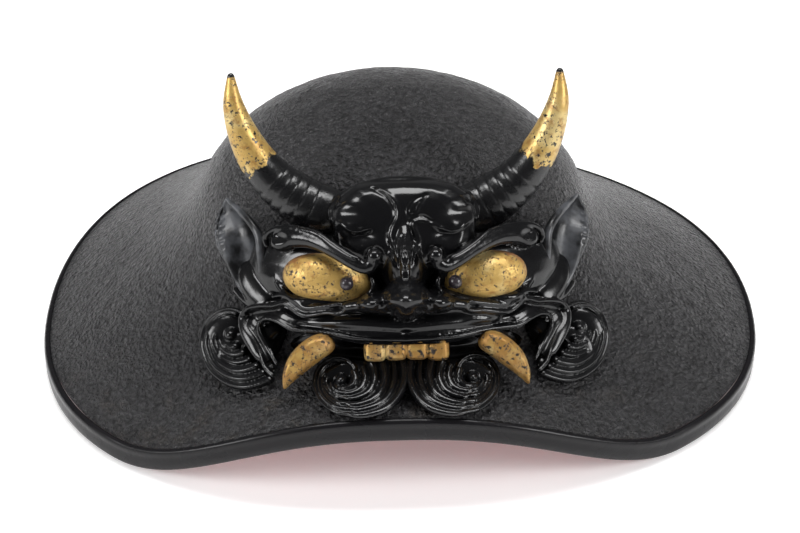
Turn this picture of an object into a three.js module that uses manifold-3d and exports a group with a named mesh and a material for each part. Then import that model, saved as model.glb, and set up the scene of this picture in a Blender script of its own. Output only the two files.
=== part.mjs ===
// A lacquered jingasa: a domed hat whose wide brim is arched up at the front, with a carved demon
// mask on the crown. Millimetres. +Z is up, the mask looks along -Y, and the hat stands on z = 0.
import * as THREE from 'three';
import { mergeVertices } from 'three/addons/utils/BufferGeometryUtils.js';
import Module from 'manifold-3d';

const wasm = await Module();
wasm.setup();

const DEGREE = Math.PI / 180;

// Brim, seen from above: a rounded oblong, a little fuller behind than in front
const HAT_WIDE = 380;
const BRIM_FRONT = 163;
const BRIM_BACK = 174;
const FRONT_SQUARENESS = 2.38;
const BACK_SQUARENESS = 2.175;
const BACK_TAPER = 0.028;
const SIDE_SKEW = 0.075;

// Brim, seen from the front: its edge lies flat but for an arch in the middle of the front
const FRONT_ARCH = 35.4;
const ARCH_HALF_TURN = 43 * DEGREE;
const BRIM_SLOPE = 27 * DEGREE;
const ARCH_SLOPE_LOSS = 22 * DEGREE;
const FLARE_PULL = 36;
const BRIM_PULL = 0.5;

// Crown: part of an ellipsoid that passes smoothly into the brim
const CROWN_HALF_WIDE = 103.6;
const CROWN_HALF_LONG = 108;
const CROWN_HALF_HIGH = 69;
const CROWN_MIDDLE_HIGH = 63.6;
const CROWN_ASIDE = -5.5;
const CROWN_FORWARD = 2.4;
const DOME_TURN = 75 * DEGREE;

const WALL = 3;
const BAND_HIGH = 12;
const BAND_WIDE = 4.5;
const BAND_ROUND = 3;
const CLEAR = 0.3;
const CRUMB = 5;
const WELD = 0.0001;

// Mask: its own frame has x across, y up and z out, tilted back to lie on the crown's front
const FACE_TILT = 32 * DEGREE;
const FACE_TURN = 1.8 * DEGREE;
const FACE_ASIDE = 6.9;
const FACE_RAISE = 4.6;
const FACE_REACH = 100;
const FACE_TALL = 100;
const FACE_DEEP = 40;

// Horns, gilded trim and scrolls
const HORN_RISE = 92;
const HORN_SPREAD = 78;
const HORN_THICK = 11.5;
const HORN_GROOVE = 0.8;
const EYE_HALF_WIDE = 21.5;
const EYE_HALF_TALL = 12;
const EYE_HALF_DEEP = 14;
const EYE_DROOP = 9 * DEGREE;
const PUPIL_RADIUS = 3.3;
const TOOTH_WIDE = 9.9;
const TOOTH_TALL = 7.4;
const TOOTH_DEEP = 15;
const TOOTH_ROUND = 1.2;
const TOOTH_OVERLAP = 0.1;
const FANG_THICK = 4.8;
const EAR_THICK = 0.34;
const CHEEK_CURL_SIZE = 30.7;
const CHIN_CURL_SIZE = 30;
const STRANDS = 3;

// Facets
const AZIMUTHS = 48;
const DOME_STEPS = 5;
const FLARE_STEPS = 6;
const BALL_ROWS = 6;
const EYE_ROWS = 10;
const CURL_POINTS = 8;

const FINISH = {
  shell: { color: 0x2b2a2b, roughness: 0.55, metalness: 0 },
  band: { color: 0x1a191a, roughness: 0.35, metalness: 0 },
  mask: { color: 0x121214, roughness: 0.2, metalness: 0 },
  gold: { color: 0xb58a3c, roughness: 0.4, metalness: 0.8 },
  pupil: { color: 0x2a2628, roughness: 0.3, metalness: 0 },
};

const signedPower = (value, power) => Math.sign(value) * Math.abs(value) ** power;

// Brim edge at a turn round the hat, 0 in front: its place, the height of its lower edge, and how
// far it is into the arch, from 0 to 1.
function brimEdge(turn) {
  const ahead = Math.cos(turn);
  const front = ahead > 0;
  const power = 2 / (front ? FRONT_SQUARENESS : BACK_SQUARENESS);
  let y = -(front ? BRIM_FRONT : BRIM_BACK) * signedPower(ahead, power);
  let x = (HAT_WIDE / 2) * signedPower(Math.sin(turn), power);
  x *= 1 - BACK_TAPER * Math.max(y, 0) / BRIM_BACK;
  y *= 1 - SIDE_SKEW * x / (HAT_WIDE / 2);
  const fromFront = Math.abs(Math.atan2(Math.sin(turn), Math.cos(turn)));
  const arch = fromFront < ARCH_HALF_TURN
    ? Math.cos(Math.PI / 2 * fromFront / ARCH_HALF_TURN) ** 2 : 0;
  return { x, y, low: FRONT_ARCH * arch, arch };
}

// One section of the hat, cut upright through the crown's middle towards the brim's edge
function section(turn) {
  const edge = brimEdge(turn);
  const dx = edge.x - CROWN_ASIDE;
  const dy = edge.y + CROWN_FORWARD;
  const reach = Math.hypot(dx, dy);
  const way = { x: dx / reach, y: dy / reach };
  const crown = 1 / Math.hypot(way.x / CROWN_HALF_WIDE, way.y / CROWN_HALF_LONG);
  const at = (out, high) => new THREE.Vector3(
    CROWN_ASIDE + out * way.x, -CROWN_FORWARD + out * way.y, high);
  return { ...edge, reach, crown, at };
}

// Outline of the hat's outer skin in that section, from the apex to the band, as (out, high) pairs
function profile({ reach, crown, low, arch }) {
  const line = [];
  for (let i = 1; i <= DOME_STEPS; i += 1) {
    const t = DOME_TURN * i / DOME_STEPS;
    line.push(new THREE.Vector2(crown * Math.sin(t),
      CROWN_MIDDLE_HIGH + CROWN_HALF_HIGH * Math.cos(t)));
  }
  const start = line[line.length - 1];
  const fall = Math.atan2(CROWN_HALF_HIGH * Math.sin(DOME_TURN), crown * Math.cos(DOME_TURN));
  const end = new THREE.Vector2(reach - BAND_WIDE - CLEAR, low + BAND_HIGH);
  const slope = BRIM_SLOPE - ARCH_SLOPE_LOSS * arch;
  const pull = BRIM_PULL * (reach - start.x);
  const flare = new THREE.CubicBezierCurve(
    start,
    new THREE.Vector2(start.x + FLARE_PULL * Math.cos(fall), start.y - FLARE_PULL * Math.sin(fall)),
    new THREE.Vector2(end.x - pull * Math.cos(slope), end.y + pull * Math.sin(slope)),
    end);
  return line.concat(flare.getPoints(FLARE_STEPS).slice(1));
}

// The same outline moved along its normals, outwards where the distance is above 0
function shifted(line, distance) {
  return line.map((point, i) => {
    const before = line[Math.max(i - 1, 0)];
    const after = line[Math.min(i + 1, line.length - 1)];
    const along = after.clone().sub(before).normalize();
    return new THREE.Vector2(point.x - along.y * distance, point.y + along.x * distance);
  });
}

// Closed skin over a list of rings. Each end is a point, or the last ring joins the first.
function skin(rings, firstPoint, lastPoint) {
  const count = rings[0].length;
  const points = rings.flat();
  const faces = [];
  const joined = firstPoint === undefined;
  const bands = joined ? rings.length : rings.length - 1;
  for (let r = 0; r < bands; r += 1) {
    const here = r * count;
    const next = ((r + 1) % rings.length) * count;
    for (let i = 0; i < count; i += 1) {
      const j = (i + 1) % count;
      faces.push(here + i, next + i, next + j, here + i, next + j, here + j);
    }
  }
  if (!joined) {
    const first = points.push(firstPoint) - 1;
    const last = points.push(lastPoint) - 1;
    const end = (rings.length - 1) * count;
    for (let i = 0; i < count; i += 1) {
      const j = (i + 1) % count;
      faces.push(first, i, j, last, end + j, end + i);
    }
  }
  const geometry = new THREE.BufferGeometry().setFromPoints(points);
  geometry.setIndex(faces);
  return geometry;
}

const sections = Array.from({ length: AZIMUTHS }, (_, i) => section(2 * Math.PI * i / AZIMUTHS));
const outlines = sections.map(profile);
const ringsOf = (lines) => lines[0].map((_, row) =>
  lines.map((line, i) => sections[i].at(line[row].x, line[row].y)));
const apexAt = (distance) => new THREE.Vector3(CROWN_ASIDE, -CROWN_FORWARD,
  CROWN_MIDDLE_HIGH + CROWN_HALF_HIGH + distance);

function shellGeometry() {
  const inner = outlines.map((line) => shifted(line, -WALL));
  const rings = ringsOf(outlines).concat(ringsOf(inner).reverse());
  return skin(rings, apexAt(0), apexAt(-WALL));
}

function bandGeometry() {
  const bend = BAND_ROUND * (1 - Math.SQRT1_2);
  const corners = [
    [BAND_WIDE, 0], [BAND_WIDE, BAND_HIGH], [BAND_ROUND, BAND_HIGH], [bend, BAND_HIGH - bend],
    [0, BAND_HIGH - BAND_ROUND], [0, BAND_ROUND / 2], [bend / 2, bend / 2], [BAND_ROUND / 2, 0],
  ];
  return skin(corners.map(([inward, high]) =>
    sections.map(({ reach, low, at }) => at(reach - inward, low + high))));
}

// Everything inside the hat's outer skin, grown by the clearance: it trims what sits on the hat
function hatCore() {
  const grown = outlines.map((line) => shifted(line, CLEAR));
  const edge = sections.map(({ reach, low, at }) => at(reach + CLEAR, low + BAND_HIGH + CLEAR));
  const foot = sections.map(({ reach, at }) => at(reach + CLEAR, -BAND_HIGH));
  return skin([...ringsOf(grown), edge, foot], apexAt(CLEAR),
    new THREE.Vector3(CROWN_ASIDE, -CROWN_FORWARD, -BAND_HIGH));
}

// Solids for joins and cuts
function solid(geometry) {
  const bare = geometry.clone();
  bare.deleteAttribute('normal');
  bare.deleteAttribute('uv');
  const merged = mergeVertices(bare, WELD);
  return new wasm.Manifold(new wasm.Mesh({
    numProp: 3,
    vertProperties: new Float32Array(merged.attributes.position.array),
    triVerts: new Uint32Array(merged.index.array),
  }));
}
const join = (solids) => solids.reduce((sum, next) => sum.add(next));

// What is left of a body after the tools are taken away, without the crumbs that they leave loose
function cut(body, ...tools) {
  const rest = tools.reduce((left, tool) => left.subtract(tool), body);
  return join(rest.decompose().filter((piece) => piece.volume() > CRUMB));
}

function toGeometry(body) {
  const mesh = body.getMesh();
  const geometry = new THREE.BufferGeometry();
  geometry.setAttribute('position', new THREE.BufferAttribute(mesh.vertProperties, 3));
  geometry.setIndex(new THREE.BufferAttribute(mesh.triVerts, 1));
  return geometry;
}

// Mask frame: it touches the crown where the dome faces the way the mask looks
const across = new THREE.Vector3(1, 0, 0);
const upward = new THREE.Vector3(0, Math.sin(FACE_TILT), Math.cos(FACE_TILT));
const outward = new THREE.Vector3().crossVectors(across, upward);
const crownAxes = new THREE.Vector3(CROWN_HALF_WIDE, CROWN_HALF_LONG, CROWN_HALF_HIGH);
const touch = outward.clone().multiply(crownAxes).normalize().multiply(crownAxes)
  .add(new THREE.Vector3(CROWN_ASIDE, -CROWN_FORWARD, CROWN_MIDDLE_HIGH));
const faceFrame = new THREE.Matrix4().makeBasis(across, upward, outward)
  .setPosition(touch.addScaledVector(across, FACE_ASIDE).addScaledVector(upward, FACE_RAISE))
  .multiply(new THREE.Matrix4().makeRotationZ(FACE_TURN));

const core = solid(hatCore());
const hatSkin = new THREE.Mesh(hatCore(), new THREE.MeshBasicMaterial({ side: THREE.DoubleSide }));
const ray = new THREE.Raycaster();

// How far out the hat's skin lies behind a place on the mask
function hatOut(x, y) {
  const start = new THREE.Vector3(x, y, HAT_WIDE).applyMatrix4(faceFrame);
  ray.set(start, outward.clone().negate());
  return HAT_WIDE - ray.intersectObject(hatSkin)[0].distance;
}

// A place on the mask from shares of its reach and height, lifted by a share of its depth
function faceSpot(side, acrossShare, upShare, liftShare) {
  const x = side * acrossShare * FACE_REACH;
  const y = upShare * FACE_TALL;
  return new THREE.Vector3(x, y, hatOut(x, y) + liftShare * FACE_DEEP);
}

function ball(centre, halfWide, halfTall, halfDeep, roll = 0, rows = BALL_ROWS) {
  const geometry = new THREE.SphereGeometry(1, rows + 3, rows);
  geometry.rotateX(Math.PI / 2);
  geometry.scale(halfWide, halfTall, halfDeep);
  geometry.rotateZ(roll);
  geometry.translate(centre.x, centre.y, centre.z);
  return solid(geometry.applyMatrix4(faceFrame));
}

// A cylinder bent along a line of spots, with its own radius at each spot and a flattened section
function strand(spots, radii, { flat = 1, sides = 8, steps = 10, grow = 0, ripple } = {}) {
  const line = new THREE.CatmullRomCurve3(spots, false, 'centripetal');
  const tube = new THREE.CylinderGeometry(1, 1, 1, sides, steps);
  const place = tube.attributes.position;
  const out = new THREE.Vector3(0, 0, 1);
  for (let i = 0; i < place.count; i += 1) {
    const t = place.getY(i) + 0.5;
    const row = Math.min(Math.floor(t * (radii.length - 1)), radii.length - 2);
    const part = t * (radii.length - 1) - row;
    let radius = radii[row] + (radii[row + 1] - radii[row]) * part;
    if (ripple) radius -= ripple(t);
    const along = line.getTangent(t);
    const side = new THREE.Vector3().crossVectors(along, out).normalize();
    const face = new THREE.Vector3().crossVectors(side, along);
    const spot = line.getPoint(t)
      .addScaledVector(side, place.getX(i) * (radius + grow))
      .addScaledVector(face, place.getZ(i) * (radius * flat + grow))
      .addScaledVector(along, (t === 1 ? grow : 0) - (t === 0 ? grow : 0));
    place.setXYZ(i, spot.x, spot.y, spot.z);
  }
  return solid(tube.applyMatrix4(faceFrame));
}

const strandOf = (side, rows, options) => strand(
  rows.map((row) => faceSpot(side, row.across, row.up, row.lift)),
  rows.map((row) => row.thick * FACE_DEEP), options);

// Carved masses: centre and half sizes as shares of the face's reach, height and depth
const MASSES = [
  { name: 'forehead', across: 0, up: 0.17, lift: 0, wide: 0.34, tall: 0.27, deep: 0.6 },
  { name: 'bridge', across: 0, up: 0.06, lift: 0.3, wide: 0.085, tall: 0.17, deep: 0.45 },
  { name: 'nose', across: 0, up: -0.14, lift: 0.5, wide: 0.075, tall: 0.08, deep: 0.5 },
  { name: 'muzzle', across: 0, up: -0.2, lift: 0.1, wide: 0.45, tall: 0.15, deep: 0.5 },
  { name: 'mouth', across: 0, up: -0.38, lift: 0, wide: 0.6, tall: 0.13, deep: 0.3 },
];
const PAIRED_MASSES = [
  { name: 'horn boss', across: 0.41, up: 0.27, lift: 0.05, wide: 0.16, tall: 0.14, deep: 0.36 },
  { name: 'eye shelf', across: 0.38, up: 0, lift: 0, wide: 0.32, tall: 0.19, deep: 0.3 },
  { name: 'nostril', across: 0.09, up: -0.16, lift: 0.45, wide: 0.07, tall: 0.055, deep: 0.32 },
  { name: 'cheek', across: 0.64, up: -0.09, lift: 0, wide: 0.18, tall: 0.17, deep: 0.36 },
  { name: 'brow knob', across: 0.15, up: 0.055, lift: 0.64, wide: 0.036, tall: 0.036, deep: 0.1 },
];
// Rolls of the brow, from its curled outer end to the scroll beside the nose
const BROW = [
  { across: 0.64, up: 0.1, lift: 0.34, thick: 0.13 },
  { across: 0.6, up: 0.14, lift: 0.42, thick: 0.16 },
  { across: 0.49, up: 0.145, lift: 0.48, thick: 0.16 },
  { across: 0.37, up: 0.105, lift: 0.56, thick: 0.15 },
  { across: 0.28, up: 0.055, lift: 0.62, thick: 0.14 },
  { across: 0.2, up: 0.005, lift: 0.66, thick: 0.12 },
  { across: 0.14, up: 0, lift: 0.68, thick: 0.09 },
  { across: 0.1, up: 0.05, lift: 0.68, thick: 0.06 },
];
// Upper lip, from the middle to the corner, where it turns down as a flap beside the mouth
const LIP = [
  { across: 0, up: -0.275, lift: 0.62, thick: 0.14 },
  { across: 0.15, up: -0.255, lift: 0.62, thick: 0.14 },
  { across: 0.32, up: -0.25, lift: 0.56, thick: 0.13 },
  { across: 0.47, up: -0.25, lift: 0.5, thick: 0.12 },
  { across: 0.56, up: -0.22, lift: 0.46, thick: 0.12 },
  { across: 0.65, up: -0.19, lift: 0.42, thick: 0.12 },
  { across: 0.73, up: -0.22, lift: 0.36, thick: 0.11 },
  { across: 0.73, up: -0.3, lift: 0.3, thick: 0.1 },
  { across: 0.68, up: -0.4, lift: 0.26, thick: 0.08 },
  { across: 0.62, up: -0.5, lift: 0.2, thick: 0.06 },
];
const EYE = { across: 0.368, up: -0.052, lift: 0.22 };
const PUPIL = { left: 0.275, right: 0.235, up: -0.075, lift: 0.5 };
// Row of teeth: its middle, and how far a tooth drops for the square of its place from there
const TEETH = { up: -0.38, lift: 0.14, drop: 0.006, places: [-1.5, -0.5, 0.5, 1.5] };
const FANG = [
  { across: 0.37, up: -0.36, lift: 0.36 },
  { across: 0.45, up: -0.385, lift: 0.46 },
  { across: 0.52, up: -0.45, lift: 0.46 },
  { across: 0.55, up: -0.51, lift: 0.4 },
  { across: 0.555, up: -0.565, lift: 0.34 },
];
const FANG_TAPER = [1, 1, 0.72, 0.42, 0.1];
const EAR = [
  { across: 0.66, up: -0.02, lift: 0.15, thick: 0.09 },
  { across: 0.74, up: 0.03, lift: 0.22, thick: 0.14 },
  { across: 0.81, up: 0.09, lift: 0.32, thick: 0.24 },
  { across: 0.85, up: 0.18, lift: 0.42, thick: 0.22 },
  { across: 0.875, up: 0.27, lift: 0.5, thick: 0.13 },
  { across: 0.88, up: 0.355, lift: 0.54, thick: 0.03 },
];
// Horns: shares of the spread and rise of their tips, from the root, and of their thickness. The
// pair leans to the left by the shift, a share of the spread.
const HORN = [
  { across: 0.44, up: 0.26, out: -0.1, thick: 1, shift: 0.03 },
  { across: 0.62, up: 0.365, out: -0.02, thick: 1, shift: 0.03 },
  { across: 0.755, up: 0.455, out: 0.05, thick: 0.92, shift: 0.02 },
  { across: 0.845, up: 0.55, out: 0.13, thick: 0.78, shift: 0.015 },
  { across: 0.91, up: 0.645, out: 0.22, thick: 0.68, shift: 0.005 },
  { across: 0.96, up: 0.75, out: 0.32, thick: 0.55, shift: 0 },
  { across: 0.99, up: 0.86, out: 0.41, thick: 0.4, shift: -0.01 },
  { across: 0.995, up: 1, out: 0.5, thick: 0.12, shift: -0.015 },
];
const HORN_FOOT = 0.5;
// Rings round the foot of each horn: the share of its length that they take, and how many
const HORN_RINGS = { share: 0.36, count: 3 };
// Scrolls: centre of the coil, and how the outline's radius falls from the tail to the coil. A
// strand is a little thicker than the space between two of them, so that they meet.
const STRAND_SWELL = 0.56;
const HEART_HIGH = 0.2;
const CHEEK_CURL = {
  across: 0.86, up: -0.32, lift: 0.16, size: CHEEK_CURL_SIZE, coil: 0.34, fall: 1.6,
  tail: -138 * DEGREE, turns: 228 * DEGREE, inner: 0.34, heart: 0.055,
  beds: [
    { across: 0.86, up: -0.34, wide: 0.12, tall: 0.11 },
    { across: 0.77, up: -0.44, wide: 0.17, tall: 0.12 },
  ],
};
const CHIN_CURL = {
  across: 0.315, up: -0.52, lift: 0.16, size: CHIN_CURL_SIZE, coil: 0.34, fall: 3,
  tail: 164 * DEGREE, turns: 286 * DEGREE, inner: 0.36, heart: 0.035,
  beds: [{ across: 0.25, up: -0.53, wide: 0.19, tall: 0.12 }],
};

function mask(grow) {
  const parts = [];
  const add = (side, row) => parts.push(ball(
    faceSpot(side, row.across, row.up, row.lift),
    row.wide * FACE_REACH + grow, row.tall * FACE_TALL + grow, row.deep * FACE_DEEP + grow));
  MASSES.forEach((row) => add(1, row));
  for (const side of [-1, 1]) {
    PAIRED_MASSES.forEach((row) => add(side, row));
    parts.push(strandOf(side, BROW, { grow, sides: 6, steps: 8 }));
    parts.push(strandOf(side, LIP, { grow, sides: 6, steps: 9 }));
  }
  return join(parts);
}

const eye = (side, grow) => ball(faceSpot(side, EYE.across, EYE.up, EYE.lift),
  EYE_HALF_WIDE + grow, EYE_HALF_TALL + grow, EYE_HALF_DEEP + grow, side * EYE_DROOP, EYE_ROWS);

function pupil(side, grow) {
  const spot = faceSpot(side, side < 0 ? PUPIL.left : PUPIL.right, PUPIL.up, PUPIL.lift);
  const radius = PUPIL_RADIUS + grow;
  return ball(spot, radius, radius, radius);
}

function horn(side, grow) {
  const base = hatOut(side * HORN_FOOT * HORN_SPREAD, 0);
  const spots = HORN.map((row) => new THREE.Vector3(
    (side * row.across - row.shift) * HORN_SPREAD, row.up * HORN_RISE, base + row.out * FACE_DEEP));
  const radii = HORN.map((row) => row.thick * HORN_THICK);
  const { share, count } = HORN_RINGS;
  const rings = (t) => (t < share
    ? HORN_GROOVE * Math.sin(Math.PI * count * t / share) ** 2 : 0);
  return strand(spots, radii, { grow, sides: 10, steps: 16, ripple: grow ? undefined : rings });
}

const fang = (side, grow) => strand(
  FANG.map((row) => faceSpot(side, row.across, row.up, row.lift)),
  FANG_TAPER.map((share) => share * FANG_THICK), { grow, steps: 8 });

function teeth(grow) {
  const half = { wide: (TOOTH_WIDE + TOOTH_OVERLAP) / 2 + grow, tall: TOOTH_TALL / 2 + grow };
  const parts = TEETH.places.map((place) => {
    const outline = new THREE.Shape([
      [-half.wide + TOOTH_ROUND, -half.tall], [half.wide - TOOTH_ROUND, -half.tall],
      [half.wide, -half.tall + TOOTH_ROUND], [half.wide, half.tall - TOOTH_ROUND],
      [half.wide - TOOTH_ROUND, half.tall], [-half.wide + TOOTH_ROUND, half.tall],
      [-half.wide, half.tall - TOOTH_ROUND], [-half.wide, -half.tall + TOOTH_ROUND],
    ].map(([x, y]) => new THREE.Vector2(x, y)));
    const block = new THREE.ExtrudeGeometry(outline, { depth: TOOTH_DEEP + grow, bevelEnabled: false });
    const spot = faceSpot(1, place * TOOTH_WIDE / FACE_REACH,
      TEETH.up - TEETH.drop * place * place, TEETH.lift);
    block.translate(spot.x, spot.y, spot.z);
    return solid(block.applyMatrix4(faceFrame));
  });
  return join(parts);
}

const ear = (side, grow) => strandOf(side, EAR, { flat: EAR_THICK, grow, sides: 10, steps: 10 });

function curl(side, form) {
  const parts = [];
  for (let k = 0; k < STRANDS; k += 1) {
    const ring = 1 - (1 - form.inner) * k / (STRANDS - 1);
    const gap = (1 - form.inner) / (STRANDS - 1);
    const spots = [];
    const radii = [];
    for (let i = 0; i <= CURL_POINTS; i += 1) {
      const t = i / CURL_POINTS;
      const size = form.size * (form.coil + (1 - form.coil) * (1 - t) ** form.fall);
      const turn = form.tail + form.turns * t;
      const middle = (ring - gap / 2) * size;
      spots.push(faceSpot(side, form.across + middle * Math.cos(turn) / FACE_REACH,
        form.up + middle * Math.sin(turn) / FACE_TALL, form.lift));
      radii.push(gap * size * STRAND_SWELL);
    }
    parts.push(strand(spots, radii, { sides: 5, steps: 6 }));
  }
  form.beds.forEach((bed) => parts.push(ball(faceSpot(side, bed.across, bed.up, 0),
    bed.wide * FACE_REACH, bed.tall * FACE_TALL, form.lift * FACE_DEEP)));
  const heart = faceSpot(side, form.across, form.up, form.lift);
  parts.push(ball(heart, form.heart * FACE_REACH, form.heart * FACE_REACH,
    HEART_HIGH * FACE_DEEP));
  return join(parts);
}

const object = new THREE.Group();
function addPart(name, body, finish) {
  const geometry = body.isBufferGeometry ? body : toGeometry(body);
  const part = new THREE.Mesh(geometry, new THREE.MeshStandardMaterial(FINISH[finish]));
  part.name = name;
  object.add(part);
}

addPart('hat_shell', shellGeometry(), 'shell');
addPart('rim_band', bandGeometry(), 'band');

const maskRoom = mask(CLEAR);
const teethRoom = teeth(CLEAR);
const sides = [['left', -1], ['right', 1]];
const rooms = sides.flatMap(([, side]) => [
  eye(side, CLEAR), pupil(side, CLEAR), horn(side, CLEAR), fang(side, CLEAR)]);
addPart('mask_face', cut(mask(0), core, teethRoom, ...rooms), 'mask');
addPart('front_teeth', cut(teeth(0), core), 'gold');
for (const [name, side] of sides) {
  addPart(`eye_${name}`, cut(eye(side, 0), core), 'gold');
  addPart(`pupil_${name}`, cut(pupil(side, 0), eye(side, CLEAR)), 'pupil');
  addPart(`horn_${name}`, cut(horn(side, 0), core), 'gold');
  addPart(`ear_${name}`, cut(ear(side, 0), core, maskRoom), 'mask');
  addPart(`fang_${name}`, cut(fang(side, 0), core), 'gold');
  addPart(`cheek_curl_${name}`, cut(curl(side, CHEEK_CURL), core, maskRoom), 'mask');
  addPart(`chin_curl_${name}`, cut(curl(side, CHIN_CURL), core, maskRoom, teethRoom,
    fang(side, CLEAR)), 'mask');
}

// The origin lies on the floor under the middle of the outline
const middle = new THREE.Box3().setFromObject(object).getCenter(new THREE.Vector3());
object.position.set(-middle.x, -middle.y, 0);

export default object;
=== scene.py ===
import math
from collections import namedtuple
from functools import cache

import bpy
import numpy as np
from bpy.props import FloatProperty, FloatVectorProperty, PointerProperty
from mathutils import Matrix, Vector, noise
from mathutils.bvhtree import BVHTree


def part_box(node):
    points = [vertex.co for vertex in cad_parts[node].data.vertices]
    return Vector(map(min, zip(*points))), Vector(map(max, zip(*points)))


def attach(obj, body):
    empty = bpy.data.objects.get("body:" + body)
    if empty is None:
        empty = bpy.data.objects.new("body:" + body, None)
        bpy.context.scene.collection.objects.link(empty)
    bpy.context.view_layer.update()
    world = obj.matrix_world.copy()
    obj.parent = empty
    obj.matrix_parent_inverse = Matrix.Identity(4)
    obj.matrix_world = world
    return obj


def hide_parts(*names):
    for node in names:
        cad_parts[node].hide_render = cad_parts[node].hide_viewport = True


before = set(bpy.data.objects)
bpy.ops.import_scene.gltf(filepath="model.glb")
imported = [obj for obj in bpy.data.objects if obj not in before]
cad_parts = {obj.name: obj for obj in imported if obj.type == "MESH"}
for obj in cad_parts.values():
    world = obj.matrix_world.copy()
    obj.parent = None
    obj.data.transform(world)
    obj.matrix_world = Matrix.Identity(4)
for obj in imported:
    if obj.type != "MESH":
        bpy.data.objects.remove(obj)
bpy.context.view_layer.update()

bl_info = {
    "name": "Lacquered jingasa",
    "version": (1, 0, 0),
    "blender": (4, 5, 0),
    "location": "View3D > Sidebar > Jingasa",
    "description": "Models a lacquered domed hat with a carved demon mask round its packed frame",
    "category": "Object",
}

# The frame gives the outline of the rim and the boxes of the pieces
BAND_LOW, BAND_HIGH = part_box("rim_band")
MM = 0.001
SIDES = (("left", -1), ("right", 1))
# Turns from the front between which the brim's back rises
BACK_START = math.radians(80)
BACK_END = math.radians(125)
# Faces that meet more sharply than this keep a hard edge
HARD_EDGE = math.radians(50)
# Steps of a smooth line between two rows, and places along a carved line
LINE_STEPS = 12
LINE_PLACES = 90
# The hand-laid skin: grains per metre and their shares, and the rows over which it fades out
DENT_GRAINS = ((110, 1.0), (240, 0.7))
DENT_FADE_ROWS = 4
# Half size and step of the field over which the skin behind the mask is sounded, in millimetres
FIELD_HALF = 125
FIELD_STEP = 2.5
# The band's section is a rounded oblong. Its outside lies back a little, with a lip and a hollow:
# their height and half width as shares of the band's height, and how far they stand out
BAND_SQUARENESS = 3.0
BAND_EASE = 0.35 * MM
BAND_RELIEF = ((0.86, 0.1, 0.35 * MM), (0.62, 0.16, -0.3 * MM))
# Most triangles of the mask and of a scroll
MASK_TRIANGLES = 190000
SCROLL_TRIANGLES = 90000
# Rounds of smoothing, before and after the mask is carved, and for the other fused pieces
MASK_SMOOTHING = 6
CARVED_SMOOTHING = 3
EAR_SMOOTHING = 3
FINE_SMOOTHING = 1
# A cut deepens this fast as the skin turns to the viewer, and ends at so many times its width
CUT_FACING = 2.5
CUT_REACH = 3


def length(label, text, default):
    return FloatProperty(name=label, description=text, default=default, unit="LENGTH", precision=5)


def angle(label, text, degrees):
    return FloatProperty(name=label, description=text, default=math.radians(degrees), unit="ROTATION")


def share(label, text, default):
    return FloatProperty(name=label, description=text, default=default)


def colour(label, text, default):
    return FloatVectorProperty(name=label, description=text, default=default, size=3, subtype="COLOR")


class HatSizes(bpy.types.PropertyGroup):
    """Sizes of the shell and the rim band"""
    wide: length("Width", "Brim from side to side", BAND_HIGH.x - BAND_LOW.x)
    front: length("Front reach", "Brim's reach in front of the middle", 0.163)
    back: length("Back reach", "Brim's reach behind the middle", 0.174)
    front_squareness: share("Front squareness", "Power of the brim's outline in front", 2.47)
    back_squareness: share("Back squareness", "Power of the brim's outline behind", 2.175)
    back_taper: share("Back taper", "Narrowing of the outline towards the back", 0.028)
    side_skew: share("Side skew", "Lengthening of the left side, as a share", 0.075)
    arch: length("Front arch", "Height of the arch in the front of the brim", 0.0354)
    arch_turn: angle("Arch half turn", "Half of the turn that the arch takes", 43)
    slope: angle("Brim slope", "Slope of the brim at its edge", 27)
    slope_loss: angle("Arch slope loss", "How much flatter the brim is in the arch", 22)
    flare_pull: length("Flare pull", "Reach of the bend between crown and brim", 0.036)
    brim_pull: share("Brim pull", "Share of the brim that keeps its slope", 0.5)
    back_lift: length("Back lift", "How far the brim's back stands above the ground", 0.003)
    crown_wide: length("Crown half width", "Half width of the crown's ellipsoid", 0.1036)
    crown_long: length("Crown half length", "Half length of the crown's ellipsoid", 0.108)
    crown_high: length("Crown half height", "Half height of the crown's ellipsoid", 0.069)
    crown_middle: length("Crown middle", "Height of the ellipsoid's middle", 0.0636)
    crown_aside: length("Crown aside", "The crown's place across the hat", -0.0055)
    crown_forward: length("Crown forward", "How far the crown stands in front of the middle", 0.0024)
    dome_turn: angle("Dome turn", "Turn of the ellipsoid that the dome takes", 75)
    wall: length("Wall", "Thickness of the shell", 0.003)
    let_in: length("Letting in", "How far the shell's edge stands inside the band", 0.0008)
    band_tall: length("Band height", "Height of the rim band", 0.012)
    band_deep: length("Band depth", "Depth of the rim band", 0.0045)
    dents: length("Hand-laid unevenness", "How far the lacquered skin rises and falls", 0.0003)


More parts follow.
